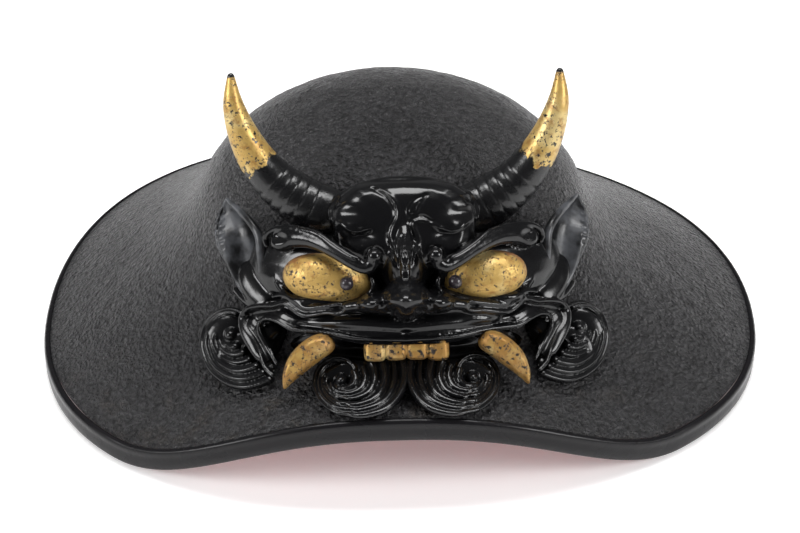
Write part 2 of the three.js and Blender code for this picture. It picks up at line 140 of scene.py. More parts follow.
class MaskSizes(bpy.types.PropertyGroup):
    """Sizes of the carved mask and its horns"""
    tilt: angle("Tilt", "How far the mask leans back", 32)
    turn: angle("Turn", "The mask's turn in its own plane", 1.8)
    aside: length("Aside", "The mask's place across the crown", 0.0069)
    above: length("Raise", "The mask's place up the crown", 0.0046)
    reach: length("Reach", "Unit of the mask's width and height", 0.1)
    deep: length("Depth", "Unit of the mask's relief", 0.04)
    sunk: length("Sunk", "How far the mask's back is let into the skin", 0.0012)
    grain: length("Carving grain", "Finest carved detail of the mask", 0.00068)
    curl_grain: length("Scroll grain", "Finest carved detail of the scrolls", 0.00042)
    horn_rise: length("Horn rise", "Height of the horns' tips", 0.0926)
    horn_spread: length("Horn spread", "Half distance of the horns' tips", 0.078)
    horn_skew: share("Horn skew", "How much higher the right horn reaches than the left", 0.002)
    horn_thick: length("Horn thickness", "Radius of a horn at its foot", 0.0115)
    ring_deep: length("Ring depth", "Depth of the rings round a horn's foot", 0.00028)
    eye_wide: length("Eye half width", "Half width of an eyeball", 0.0215)
    eye_tall: length("Eye half height", "Half height of an eyeball", 0.012)
    eye_deep: length("Eye half depth", "Half depth of an eyeball", 0.014)
    eye_droop: angle("Eye droop", "Fall of the eyes towards the nose", 9)
    pupil: length("Pupil", "Radius of a pupil", 0.0033)
    tooth_wide: length("Tooth width", "Width of a front tooth", 0.0099)
    tooth_tall: length("Tooth height", "Height of a front tooth", 0.0102)
    tooth_deep: length("Tooth depth", "Depth of a front tooth", 0.015)
    fang: length("Fang thickness", "Radius of a fang at its root", 0.0048)
    cheek_curl: length("Cheek scroll", "Reach of a cheek scroll's tail", 0.032)
    chin_curl: length("Chin scroll", "Reach of a chin scroll's tail", 0.033)


class Finishes(bpy.types.PropertyGroup):
    """Colours of the lacquer, the leaf and the worn spots, with painted shade in the shell's pits and a
    painted sheen on the ears
    """
    shell: colour("Textured lacquer", "Charcoal lacquer of the shell", (0.056, 0.055, 0.058))
    # Painted shade: the pits of the pebbled skin are painted darker than its peaks, as the shade that
    # falls in them
    shell_pit_shade: colour("Lacquer pits", "Darker lacquer in the pits of the shell", (0.015, 0.0145, 0.0155))
    shell_worn: colour("Rubbed lacquer", "Browner lacquer near the front", (0.064, 0.053, 0.043))
    band: colour("Band lacquer", "Lacquer of the rim band", (0.007, 0.0065, 0.0075))
    band_worn: colour("Worn edge", "Wood that shows at the rim's worn spots", (0.42, 0.20, 0.10))
    mask: colour("Mask lacquer", "Glossy lacquer of the mask", (0.004, 0.004, 0.0045))
    # Partly painted sheen: the ears' paler blue-grey patches stand for rubbed lacquer and also for the
    # pale sheen of light on them
    ear: colour("Rubbed ear", "Paler lacquer where the ears are rubbed", (0.060, 0.063, 0.070))
    gold: colour("Gold leaf", "Leaf in the light", (0.47, 0.305, 0.088))
    gold_pale: colour("Pale leaf", "Leaf that is rubbed pale", (0.60, 0.46, 0.20))
    gold_dark: colour("Aged leaf", "Leaf browned with age", (0.28, 0.13, 0.03))
    soot: colour("Bare ground", "Dark ground under the leaf", (0.018, 0.012, 0.009))
    rust: colour("Red ground", "Red-brown ground at the eyes' edges", (0.20, 0.055, 0.03))
    pupil: colour("Pupil", "Dark purple-grey of the pupils", (0.035, 0.028, 0.034))
    inside: colour("Red lacquer", "Lacquer of the inside", (0.42, 0.030, 0.034))
    floor: colour("Floor", "Pale floor", (0.95, 0.95, 0.95))


class StudioSizes(bpy.types.PropertyGroup):
    """Camera and lights"""
    distance: length("Distance", "From the camera to what it looks at", 1.05)
    elevation: angle("Elevation", "The camera's height above the horizon", 32)
    aim_aside: length("Aim aside", "Place of what the camera looks at, across", -0.001)
    aim_high: length("Aim", "Height of what the camera looks at", 0.0305)
    aim_back: length("Aim forward", "Place of what the camera looks at, front to back", -0.00527)
    lens: FloatProperty(name="Lens", description="Focal length in millimetres", default=87.8)
    roll: angle("Roll", "The camera's turn round its axis", 0.8)
    top_light: FloatProperty(name="Top light", description="Power of the overhead panel", default=16.0)
    side_light: FloatProperty(name="Side lights", description="Power of the side panels", default=10.0)
    floor_glow: FloatProperty(name="Floor glow", description="Light of the lit table under the floor",
                              default=0.22)
    sky: FloatProperty(name="Room", description="Strength of the room's light", default=0.35)


# Carved work. Places and widths are shares of the mask's reach, across from its middle and up
# from its origin. A lift or a depth is a share of its relief above the hat's skin. The width and
# depth of a line and the depth of a dent are in millimetres, and one with side 1 is cut twice, as
# a pair.
Mass = namedtuple("Mass", "across up lift wide tall deep power")
Spot = namedtuple("Spot", "across up lift thick")
Line = namedtuple("Line", "side width depth spots")
Dent = namedtuple("Dent", "side across up wide tall depth")

MASSES = (
    Mass(0, 0.19, 0.06, 0.34, 0.225, 0.53, 3.4),
    Mass(0, 0.02, 0.16, 0.11, 0.2, 0.46, 2),
    Mass(0, -0.22, 0.1, 0.46, 0.13, 0.34, 2.3),
    Mass(0, -0.36, 0, 0.56, 0.1, 0.2, 2),
    Mass(0, -0.155, 0.56, 0.135, 0.105, 0.52, 1.5),
)
PAIRED_MASSES = (
    Mass(0.19, 0.22, 0.32, 0.15, 0.15, 0.3, 2.2),
    Mass(0.36, -0.155, 0.2, 0.22, 0.05, 0.24, 2),
    Mass(0.15, -0.172, 0.55, 0.08, 0.045, 0.33, 2),
    Mass(0.66, -0.33, 0.04, 0.09, 0.1, 0.2, 2),
    Mass(0.143, 0.051, 0.74, 0.036, 0.036, 0.1, 2),
)
SOCKET = (
    Spot(0.1, -0.02, 0.12, 0.34), Spot(0.28, -0.015, 0.12, 0.42), Spot(0.48, 0, 0.1, 0.45),
    Spot(0.64, 0.03, 0.06, 0.4), Spot(0.76, 0.04, 0.02, 0.25),
)
BROW = (
    Spot(0.62, 0.1, 0.38, 0.078), Spot(0.6, 0.12, 0.42, 0.123), Spot(0.54, 0.145, 0.46, 0.129),
    Spot(0.46, 0.14, 0.51, 0.112), Spot(0.39, 0.115, 0.56, 0.101), Spot(0.31, 0.07, 0.61, 0.095),
    Spot(0.24, 0.025, 0.65, 0.09), Spot(0.185, 0.0, 0.68, 0.084), Spot(0.15, 0.02, 0.7, 0.078),
    Spot(0.143, 0.05, 0.7, 0.067),
)
BROW_BEAD = (
    Spot(0.655, 0.1, 0.36, 0.035), Spot(0.668, 0.15, 0.41, 0.04), Spot(0.625, 0.187, 0.47, 0.042),
    Spot(0.55, 0.197, 0.53, 0.04), Spot(0.47, 0.182, 0.59, 0.038), Spot(0.4, 0.157, 0.63, 0.038),
    Spot(0.335, 0.107, 0.67, 0.038), Spot(0.26, 0.057, 0.71, 0.036), Spot(0.21, 0.035, 0.74, 0.034),
)
CREST = (
    Spot(0, 0.4, 0.52, 0.08), Spot(0.1, 0.395, 0.51, 0.08), Spot(0.18, 0.378, 0.48, 0.08),
    Spot(0.25, 0.352, 0.45, 0.08), Spot(0.31, 0.32, 0.42, 0.08), Spot(0.335, 0.27, 0.4, 0.075),
    Spot(0.33, 0.21, 0.42, 0.06),
)
FLAP = (
    Spot(0.78, -0.2, 0.24, 0.1), Spot(0.745, -0.285, 0.27, 0.16), Spot(0.7, -0.37, 0.25, 0.15),
    Spot(0.668, -0.45, 0.2, 0.1),
)
BRIDGE = (
    Spot(0, 0.2, 0.5, 0.08), Spot(0, 0.12, 0.57, 0.075), Spot(0, 0.04, 0.62, 0.06),
    Spot(0, -0.03, 0.62, 0.05), Spot(0, -0.08, 0.58, 0.04),
)
LID = (
    Spot(0.625, -0.01, 0.28, 0.031), Spot(0.605, -0.08, 0.34, 0.034), Spot(0.54, -0.138, 0.41, 0.034),
    Spot(0.45, -0.176, 0.47, 0.034), Spot(0.36, -0.184, 0.51, 0.033), Spot(0.27, -0.17, 0.53, 0.033),
    Spot(0.19, -0.138, 0.53, 0.031), Spot(0.15, -0.09, 0.55, 0.031), Spot(0.16, -0.045, 0.57, 0.029),
)
CHEEK = (
    Spot(0.8, 0.05, 0.14, 0.13), Spot(0.75, -0.01, 0.15, 0.19), Spot(0.715, -0.08, 0.16, 0.21),
    Spot(0.67, -0.14, 0.17, 0.19), Spot(0.6, -0.19, 0.16, 0.13),
)
CHEEK_FOLD = (
    Spot(0.84, -0.09, 0.1, 0.039), Spot(0.805, -0.125, 0.16, 0.052), Spot(0.765, -0.16, 0.2, 0.052),
    Spot(0.72, -0.185, 0.24, 0.046),
)
LIP = (
    Spot(0, -0.3, 0.46, 0.14), Spot(0.15, -0.285, 0.46, 0.135), Spot(0.3, -0.27, 0.42, 0.13),
    Spot(0.4, -0.265, 0.38, 0.11), Spot(0.47, -0.26, 0.36, 0.095), Spot(0.53, -0.24, 0.34, 0.11),
    Spot(0.585, -0.21, 0.32, 0.125), Spot(0.65, -0.21, 0.28, 0.11), Spot(0.72, -0.215, 0.24, 0.1),
    Spot(0.757, -0.255, 0.2, 0.1), Spot(0.735, -0.32, 0.16, 0.085), Spot(0.69, -0.395, 0.14, 0.075),
    Spot(0.665, -0.455, 0.12, 0.065), Spot(0.64, -0.505, 0.08, 0.05),
)
LIP_RIDGE = (
    Spot(0.1, -0.215, 0.6, 0.034), Spot(0.18, -0.195, 0.6, 0.039), Spot(0.26, -0.195, 0.58, 0.039),
    Spot(0.32, -0.215, 0.56, 0.034), Spot(0.37, -0.205, 0.54, 0.034), Spot(0.43, -0.215, 0.52, 0.036),
    Spot(0.485, -0.22, 0.5, 0.039), Spot(0.54, -0.185, 0.48, 0.039), Spot(0.58, -0.16, 0.46, 0.039),
    Spot(0.63, -0.175, 0.43, 0.036), Spot(0.7, -0.175, 0.4, 0.036), Spot(0.765, -0.19, 0.36, 0.036),
    Spot(0.8, -0.24, 0.3, 0.036), Spot(0.785, -0.295, 0.28, 0.034), Spot(0.735, -0.35, 0.28, 0.034),
    Spot(0.7, -0.41, 0.27, 0.034), Spot(0.675, -0.47, 0.25, 0.034), Spot(0.63, -0.515, 0.22, 0.031),
)
LIP_FOLD = (
    Spot(0.3, -0.17, 0.54, 0.034), Spot(0.4, -0.185, 0.52, 0.036), Spot(0.47, -0.19, 0.5, 0.036),
    Spot(0.53, -0.155, 0.46, 0.036), Spot(0.58, -0.128, 0.42, 0.034), Spot(0.64, -0.135, 0.38, 0.031),
)
LIP_EDGE = (
    Spot(0, -0.348, 0.56, 0.043), Spot(0.12, -0.348, 0.56, 0.043), Spot(0.22, -0.342, 0.53, 0.041),
    Spot(0.3, -0.325, 0.5, 0.036), Spot(0.38, -0.307, 0.47, 0.036), Spot(0.47, -0.297, 0.45, 0.036),
    Spot(0.54, -0.29, 0.43, 0.036), Spot(0.6, -0.255, 0.41, 0.036), Spot(0.655, -0.235, 0.39, 0.034),
    Spot(0.7, -0.25, 0.37, 0.034), Spot(0.705, -0.3, 0.34, 0.034), Spot(0.675, -0.36, 0.3, 0.031),
    Spot(0.645, -0.41, 0.27, 0.029), Spot(0.615, -0.465, 0.23, 0.026),
)
SNEER = (
    Spot(0.045, -0.16, 0.76, 0.086), Spot(0.1, -0.19, 0.69, 0.073), Spot(0.15, -0.19, 0.66, 0.06),
    Spot(0.22, -0.178, 0.62, 0.06), Spot(0.3, -0.188, 0.58, 0.053),
)
SKIN_LINES = (
    Line(0, 0.8, 1.1, ((-0.145, 0.37), (-0.09, 0.335), (-0.05, 0.28), (-0.045, 0.235),
                       (-0.068, 0.19), (-0.08, 0.14), (-0.062, 0.08), (-0.045, 0.02))),
    Line(0, 0.8, -0.7, ((-0.12, 0.37), (-0.06, 0.33), (-0.03, 0.27), (-0.033, 0.225),
                        (-0.052, 0.185), (-0.06, 0.14), (-0.045, 0.08), (-0.03, 0.02))),
    Line(0, 0.6, 1.0, ((0.105, 0.335), (0.05, 0.312), (0.015, 0.265), (0.026, 0.238),
                       (0.055, 0.252), (0.07, 0.285), (0.105, 0.335))),
    Line(0, 0.8, -0.7, ((0.15, 0.19), (0.09, 0.215), (0.045, 0.205), (0.05, 0.17),
                        (0.068, 0.12), (0.055, 0.06))),
    Line(0, 0.8, 1.1, ((0.13, 0.21), (0.085, 0.235), (0.028, 0.215), (0.03, 0.17),
                       (0.04, 0.12))),
    Line(0, 0.7, 1.0, ((-0.015, 0.14), (-0.012, 0.06), (0.0, 0.015), (0.012, 0.06),
                       (0.018, 0.14))),
    Line(0, 0.7, 0.9, ((-0.04, 0.09), (-0.028, 0.02), (-0.005, -0.03), (0.0, -0.06),
                       (0.005, -0.03), (0.026, 0.02), (0.038, 0.09))),
    Line(1, 0.9, -0.8, ((0.3, 0.21), (0.255, 0.175), (0.21, 0.165), (0.165, 0.18))),
    Line(1, 1.5, 1.2, ((0, -0.245), (0.15, -0.225), (0.26, -0.225), (0.35, -0.235),
                       (0.45, -0.245), (0.52, -0.215), (0.58, -0.19), (0.65, -0.205),
                       (0.74, -0.215))),
    Line(1, 1.6, 1.4, ((0, -0.312), (0.15, -0.3), (0.28, -0.292), (0.4, -0.28), (0.5, -0.268))),
    Line(1, 1.2, 1.4, ((0.3, -0.19), (0.4, -0.2), (0.48, -0.205), (0.54, -0.17), (0.58, -0.145),
                       (0.65, -0.155))),
    Line(1, 1.3, 1.2, ((0.755, -0.22), (0.765, -0.27), (0.725, -0.325), (0.69, -0.39),
                       (0.665, -0.45))),
    Line(1, 1.4, 1.8, ((0.13, -0.19), (0.1, -0.15), (0.1, -0.1), (0.13, -0.04))),
    Line(1, 0.6, 1.1, ((0.106, 0.03), (0.102, 0.06), (0.12, 0.088), (0.15, 0.093), (0.178, 0.075),
                       (0.184, 0.045))),
)
DENTS = (
    Dent(1, 0.597, 0.15, 0.034, 0.022, 3.4),
    Dent(1, 0.27, 0.25, 0.07, 0.03, 1.6),
    Dent(1, 0.19, 0.15, 0.05, 0.03, 2.0),
    Dent(1, 0.07, -0.205, 0.025, 0.016, 3.0),
    Dent(1, 0.47, -0.36, 0.16, 0.05, 6.0),
    Dent(1, 0.17, -0.385, 0.18, 0.04, 6.0),
)
# Rolls that are laid left and right, and how flat each is
ROLLS = ((BROW, 0.9), (BROW_BEAD, 1), (CREST, 1), (LID, 1), (SOCKET, 0.5), (FLAP, 0.45), (CHEEK, 0.55),
         (CHEEK_FOLD, 1), (LIP, 0.65), (LIP_RIDGE, 1), (LIP_FOLD, 1), (LIP_EDGE, 1), (SNEER, 1))
EYE = Spot(0.368, -0.052, 0.22, 0)
EYE_POWER = 2.15
PUPIL_ACROSS = {"left": 0.275, "right": 0.235}
PUPIL = Spot(0, -0.075, 0.5, 0)
FANG = (
    Spot(0.34, -0.36, 0.32, 0.9), Spot(0.415, -0.37, 0.42, 1.22), Spot(0.5, -0.435, 0.46, 1.18),
    Spot(0.552, -0.505, 0.42, 0.72), Spot(0.578, -0.565, 0.34, 0.12),
)
FANG_RIDGE = Line(1, 1.5, -1.5, ((0.39, -0.33), (0.46, -0.355), (0.53, -0.415), (0.566, -0.48),
                                 (0.58, -0.55)))
TEETH = Spot(0, -0.388, 0.14, 0)
# The row of teeth: places in tooth widths, the fall towards its ends, a tooth's half width as a
# share of its width, and its boxiness and grain
TOOTH_PLACES = (-1.5, -0.5, 0.5, 1.5)
TOOTH_DROP = 0.0025
TOOTH_HALF = 0.53
TOOTH_POWER = 4
TOOTH_GRAIN = 0.42 * MM
EAR = (
    Spot(0.72, -0.14, 0.12, 0.12), Spot(0.755, -0.06, 0.17, 0.17), Spot(0.785, 0.04, 0.23, 0.21),
    Spot(0.805, 0.14, 0.29, 0.26), Spot(0.82, 0.2, 0.32, 0.245), Spot(0.845, 0.27, 0.35, 0.16),
    Spot(0.86, 0.31, 0.37, 0.08), Spot(0.872, 0.35, 0.38, 0.02),
)
EAR_INNER = (
    Spot(0.69, -0.04, 0.22, 0.05), Spot(0.695, 0.08, 0.29, 0.055), Spot(0.7, 0.15, 0.34, 0.055),
    Spot(0.725, 0.205, 0.37, 0.055), Spot(0.78, 0.268, 0.4, 0.048), Spot(0.83, 0.312, 0.42, 0.036),
    Spot(0.872, 0.352, 0.42, 0.02),
)
EAR_OUTER = (
    Spot(0.745, -0.15, 0.12, 0.035), Spot(0.785, -0.07, 0.17, 0.036), Spot(0.84, 0.005, 0.22, 0.036),
    Spot(0.885, 0.068, 0.26, 0.036), Spot(0.915, 0.13, 0.29, 0.034), Spot(0.925, 0.2, 0.33, 0.03),
    Spot(0.91, 0.27, 0.37, 0.027), Spot(0.888, 0.315, 0.4, 0.022), Spot(0.873, 0.353, 0.41, 0.018),
)
# The three strands of an ear with their sides and flatness, and its dish and notches
EAR_STRANDS = ((EAR, 24, 0.34), (EAR_INNER, 12, 1), (EAR_OUTER, 12, 1))
EAR_LINES = (
    Line(1, 5.0, 2.4, ((0.785, -0.02), (0.795, 0.08), (0.81, 0.15), (0.825, 0.2), (0.85, 0.27))),
    *(Line(1, 0.7, 0.6, ((0.96, up - 0.01), (0.885, up + 0.012)))
      for up in (0.06, 0.095, 0.13, 0.165, 0.2, 0.235, 0.27)),
)
# Horns: shares of the tips' spread and rise, the depth outwards, the thickness, and a shift aside
HornSpot = namedtuple("HornSpot", "across up out thick shift")
HORN = (
    HornSpot(0.3, 0.24, -0.05, 1.05, 0.03), HornSpot(0.46, 0.29, -0.05, 1.12, 0.03),
    HornSpot(0.62, 0.365, -0.02, 1.06, 0.035), HornSpot(0.755, 0.455, 0.05, 0.93, 0.035),
    HornSpot(0.845, 0.55, 0.13, 0.8, 0.036), HornSpot(0.91, 0.645, 0.22, 0.69, 0.035),
    HornSpot(0.96, 0.75, 0.32, 0.56, 0.035), HornSpot(0.99, 0.86, 0.41, 0.4, 0.035),
    HornSpot(0.995, 1, 0.5, 0.12, 0.036),
)
# Where the foot's depth is sounded, where the leaf begins, and the rings' places and half widths
HORN_FOOT = 0.5
HORN_GOLD = 0.535
HORN_RINGS = ((0.2, 0.008), (0.265, 0.01), (0.325, 0.008), (0.375, 0.01), (0.43, 0.008))
Bed = namedtuple("Bed", "across up wide tall")
Curl = namedtuple("Curl", "across up lift heart outline ends beds")
# Outline of a scroll from its tail inwards: turns in degrees, and shares of its size
CHEEK_OUTLINE = ((-138, 1), (-124, 0.92), (-103, 0.84), (-83, 0.735), (-58, 0.64), (-40, 0.57),
                 (0, 0.49), (45, 0.45), (90, 0.43), (135, 0.39), (180, 0.34), (215, 0.3), (260, 0.24))
CHIN_OUTLINE = ((148, 1.02), (164, 1), (182, 0.97), (202, 0.88), (225, 0.68), (254, 0.5), (297, 0.43),
                (349, 0.42), (390, 0.4), (430, 0.36), (470, 0.33), (515, 0.27), (550, 0.22))
# Turns at which the strands end, from the outermost to the innermost
CHEEK_ENDS = (250, 110, 40, 5, -20, -40)
CHIN_ENDS = (540, 470, 410, 370, 345, 325)
CURLS = {
    "cheek": Curl(0.853, -0.318, 0.15, 0.036, CHEEK_OUTLINE, CHEEK_ENDS,
                  (Bed(0.85, -0.34, 0.13, 0.12), Bed(0.77, -0.42, 0.15, 0.12))),
    "chin": Curl(0.312, -0.53, 0.16, 0.03, CHIN_OUTLINE, CHIN_ENDS, (Bed(0.24, -0.54, 0.18, 0.1),)),
}
# The strands of a scroll: the share of the outline that the innermost keeps, the spots of each,
# its thickness as a share of its track, its flatness, and how its lift varies from strand to strand
LOCK_INNER = 0.28
LOCK_SPOTS = 26
LOCK_THICK = 0.52
LOCK_FLAT = 1.8
LOCK_WAVE = 0.03
LOCK_SHIFT = 2.1
BED_LIFT = 0.5
# The room's light: how strong it is behind the camera and beyond the hat, as shares, and the
# directions, front to back, between which it grows
ROOM_DIM = 0.2
ROOM_BRIGHT = 0.45
ROOM_FROM = -0.6
ROOM_TO = 0.9
# Soft lights: name, place, aim, size, and which of the studio's values gives the power
PANELS = (
    ("top_panel", (0, 0.1, 1.2), (0, 0, 0), (1.1, 0.36), "top_light"),
    ("left_panel", (-1.0, -0.55, 0.6), (0, 0, 0.05), (0.45, 0.5), "side_light"),
    ("right_panel", (1.0, -0.55, 0.6), (0, 0, 0.05), (0.45, 0.5), "side_light"),
)
FLOOR_SIZE = 8
FLOOR_DROP = 0.0003
FLOOR_ROUGHNESS = 0.9
FLOOR_TINT = (1.0, 0.97, 0.97, 1.0)
# Nearest and farthest that the camera sees
CLIP_NEAR = 0.01
CLIP_FAR = 50


def select_only(*pieces):
    """Selects these objects and nothing else, and makes the first one active"""
    bpy.ops.object.select_all(action="DESELECT")
    for piece in pieces:
        piece.select_set(True)
    bpy.context.view_layer.objects.active = pieces[0]


def points_of(piece):
    """The places of a piece's vertices, one row each"""
    points = np.empty(len(piece.data.vertices) * 3, np.float32)
    piece.data.vertices.foreach_get("co", points)
    return points.reshape(-1, 3).astype(float)


def set_points(piece, points):
    """Moves a piece's vertices to these places"""
    piece.data.vertices.foreach_set("co", np.asarray(points, np.float32).ravel())
    piece.data.update()


def normals_of(piece):
    """The directions that a piece's vertices face, one row each"""
    normals = np.empty(len(piece.data.vertices) * 3, np.float32)
    piece.data.vertices.foreach_get("normal", normals)
    return normals.reshape(-1, 3).astype(float)


def sphere(name, segments, rings):
    """A unit sphere that is then shaped, and each vertex's turn and its ring from the top"""
    bpy.ops.mesh.primitive_uv_sphere_add(segments=segments, ring_count=rings, radius=1)
    piece = bpy.context.object
    piece.name = name
    points = points_of(piece)
    turn = np.arctan2(points[:, 1], points[:, 0])
    ring = np.rint(np.arccos(np.clip(points[:, 2], -1, 1)) / math.pi * rings).astype(int)
    return piece, points, turn, ring


def face_outwards(piece):
    """Turns the faces of a closed piece outwards"""
    select_only(piece)
    bpy.ops.object.mode_set(mode="EDIT")
    bpy.ops.mesh.select_all(action="SELECT")
    bpy.ops.mesh.normals_make_consistent(inside=False)
    bpy.ops.object.mode_set(mode="OBJECT")


def apply_modifier(piece, kind, **choices):
    """Puts a modifier on a piece and applies it"""
    select_only(piece)
    modifier = piece.modifiers.new(kind.lower(), kind)
    for choice, value in choices.items():
        setattr(modifier, choice, value)
    bpy.ops.object.modifier_apply(modifier=modifier.name)


def fuse(name, parts, grain, smoothing):
    """Joins closed forms into one body with soft seams"""
    select_only(*parts)
    bpy.ops.object.join()
    piece = bpy.context.object
    piece.name = name
    apply_modifier(piece, "REMESH", mode="VOXEL", voxel_size=grain)
    apply_modifier(piece, "SMOOTH", factor=0.5, iterations=smoothing)
    return piece


def lighten(piece, most):
    """Thins the mesh to at most this many triangles, first where it is flattest"""
    triangles = sum(len(face.vertices) - 2 for face in piece.data.polygons)
    if triangles > most:
        apply_modifier(piece, "DECIMATE", ratio=most / triangles)


def finish_piece(piece, node, material):
    """Dresses a finished piece: its shading, material and place in the frame"""
    select_only(piece)
    bpy.ops.object.transform_apply(location=True, rotation=True, scale=True)
    bpy.ops.object.shade_smooth_by_angle(angle=HARD_EDGE)
    if material.name not in piece.data.materials:
        piece.data.materials.append(material)
    piece.data.name = piece.name
    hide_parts(node)
    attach(piece, "root")
    bpy.ops.object.select_all(action="DESELECT")


def smooth_line(rows, samples):
    """A smooth line through rows of numbers, x, y, z first, at these shares of its length"""
    rows = np.asarray(rows, float)
    ends = np.vstack([2 * rows[0] - rows[1], rows, 2 * rows[-1] - rows[-2]])
    t = np.linspace(0, 1, LINE_STEPS, endpoint=False)[:, None]
    pieces = []
    for i in range(1, len(ends) - 2):
        a, b, c, d = ends[i - 1:i + 3]
        pieces.append(0.5 * (2 * b + (c - a) * t + (2 * a - 5 * b + 4 * c - d) * t ** 2
                             + (3 * b - a - 3 * c + d) * t ** 3))
    line = np.vstack(pieces + [rows[-1:]])
    run = np.concatenate([[0], np.cumsum(np.linalg.norm(np.diff(line[:, :3], axis=0), axis=1))])
    at = np.asarray(samples, float) * run[-1]
    return np.column_stack([np.interp(at, run, column) for column in line.T]), run[-1]


# The hat's form: the brim's edge, the section through the crown and brim, and the rings
def brim_edge(hat, turn):
    """Place of the brim's edge, height of its lower edge and depth into the arch, 0 to 1"""
    def power_of(value, power):
        return np.sign(value) * np.abs(value) ** power

    ahead = np.cos(turn)
    power = 2 / np.where(ahead > 0, hat.front_squareness, hat.back_squareness)
    y = -np.where(ahead > 0, hat.front, hat.back) * power_of(ahead, power)
    x = hat.wide / 2 * power_of(np.sin(turn), power)
    x = x * (1 - hat.back_taper * np.maximum(y, 0) / hat.back)
    y = y * (1 - hat.side_skew * x / (hat.wide / 2))
    from_front = np.abs(np.arctan2(np.sin(turn), np.cos(turn)))
    arch = np.where(from_front < hat.arch_turn,
                    np.cos(math.pi / 2 * from_front / hat.arch_turn) ** 2, 0)
    behind = np.clip((from_front - BACK_START) / (BACK_END - BACK_START), 0, 1)
    return x, y, hat.arch * arch + hat.back_lift * behind ** 2 * (3 - 2 * behind), arch


def hat_shift(hat):
    """How far the hat is moved back so that its outline stays centred in the frame"""
    y = brim_edge(hat, np.linspace(0, 2 * math.pi, 3601))[1]
    return (BAND_LOW.y + BAND_HIGH.y) / 2 - (y.min() + y.max()) / 2


def hat_sections(hat, turn):
    """Way and reach of each section from the crown's middle, the crown's reach and the edge"""
    x, y, low, arch = brim_edge(hat, turn)
    dx = x - hat.crown_aside
    dy = y + hat.crown_forward
    reach = np.hypot(dx, dy)
    way = np.stack([dx / reach, dy / reach], axis=-1)
    crown = 1 / np.hypot(way[..., 0] / hat.crown_wide, way[..., 1] / hat.crown_long)
    return way, reach, crown, low, arch


def hat_place(hat, way, out, high):
    """Places at these reaches and heights along the ways of the sections"""
    return np.stack([hat.crown_aside + out * way[..., 0],
                     hat_shift(hat) - hat.crown_forward + out * way[..., 1], high], axis=-1)


def hat_profile(hat, reach, crown, low, arch, dome_rows, flare_rows):
    """Rows of the outer skin from the apex to the band, one column for each section"""
    t = hat.dome_turn * np.linspace(0, 1, dome_rows + 1)[:, None]
    dome_out = crown * np.sin(t)
    dome_high = hat.crown_middle + hat.crown_high * np.cos(t) + 0 * crown
    start_out = dome_out[-1]
    start_high = dome_high[-1]
    fall = np.arctan2(hat.crown_high * math.sin(hat.dome_turn), crown * math.cos(hat.dome_turn))
    end_out = reach - hat.band_deep + hat.let_in
    end_high = low + hat.band_tall
    slope = hat.slope - hat.slope_loss * arch
    pull = hat.brim_pull * (reach - start_out)
    stops_out = (start_out, start_out + hat.flare_pull * np.cos(fall),
                 end_out - pull * np.cos(slope), end_out)
    stops_high = (start_high, start_high - hat.flare_pull * np.sin(fall),
                  end_high + pull * np.sin(slope), end_high)
    s = np.linspace(0, 1, flare_rows + 1)[1:, None]
    weights = ((1 - s) ** 3, 3 * s * (1 - s) ** 2, 3 * s ** 2 * (1 - s), s ** 3)
    flare_out = sum(weight * stop for weight, stop in zip(weights, stops_out))
    flare_high = sum(weight * stop for weight, stop in zip(weights, stops_high))
    return np.vstack([dome_out, flare_out]), np.vstack([dome_high, flare_high])


def thinned(out, high, distance):
    """The profile moved inwards along its normals"""
    along_out = np.gradient(out, axis=0)
    along_high = np.gradient(high, axis=0)
    size = np.hypot(along_out, along_high)
    return out + along_high / size * distance, high - along_out / size * distance


def sample_rows(table, row, column):
    """Values of a table of rows at fractional rows"""
    below = np.clip(np.floor(row).astype(int), 0, len(table) - 2)
    part = row - below
    return table[below, column] * (1 - part) + table[below + 1, column] * part


def mask_frame(hat, mask):
    """Across, up and out of the mask, set where the dome faces the way that the mask looks"""
    up = Vector((0, math.sin(mask.tilt), math.cos(mask.tilt)))
    out = Vector((0, -math.cos(mask.tilt), math.sin(mask.tilt)))
    axes = Vector((hat.crown_wide, hat.crown_long, hat.crown_high))
    touch = Vector([o * a for o, a in zip(out, axes)]).normalized()
    origin = Vector([t * a for t, a in zip(touch, axes)])
    origin += Vector((hat.crown_aside, hat_shift(hat) - hat.crown_forward, hat.crown_middle))
    origin += Vector((mask.aside, 0, 0)) + up * mask.above
    place = Matrix.Identity(4)
    for row in range(3):
        place[row][:] = [Vector((1, 0, 0))[row], up[row], out[row], origin[row]]
    return place @ Matrix.Rotation(mask.turn, 4, "Z")


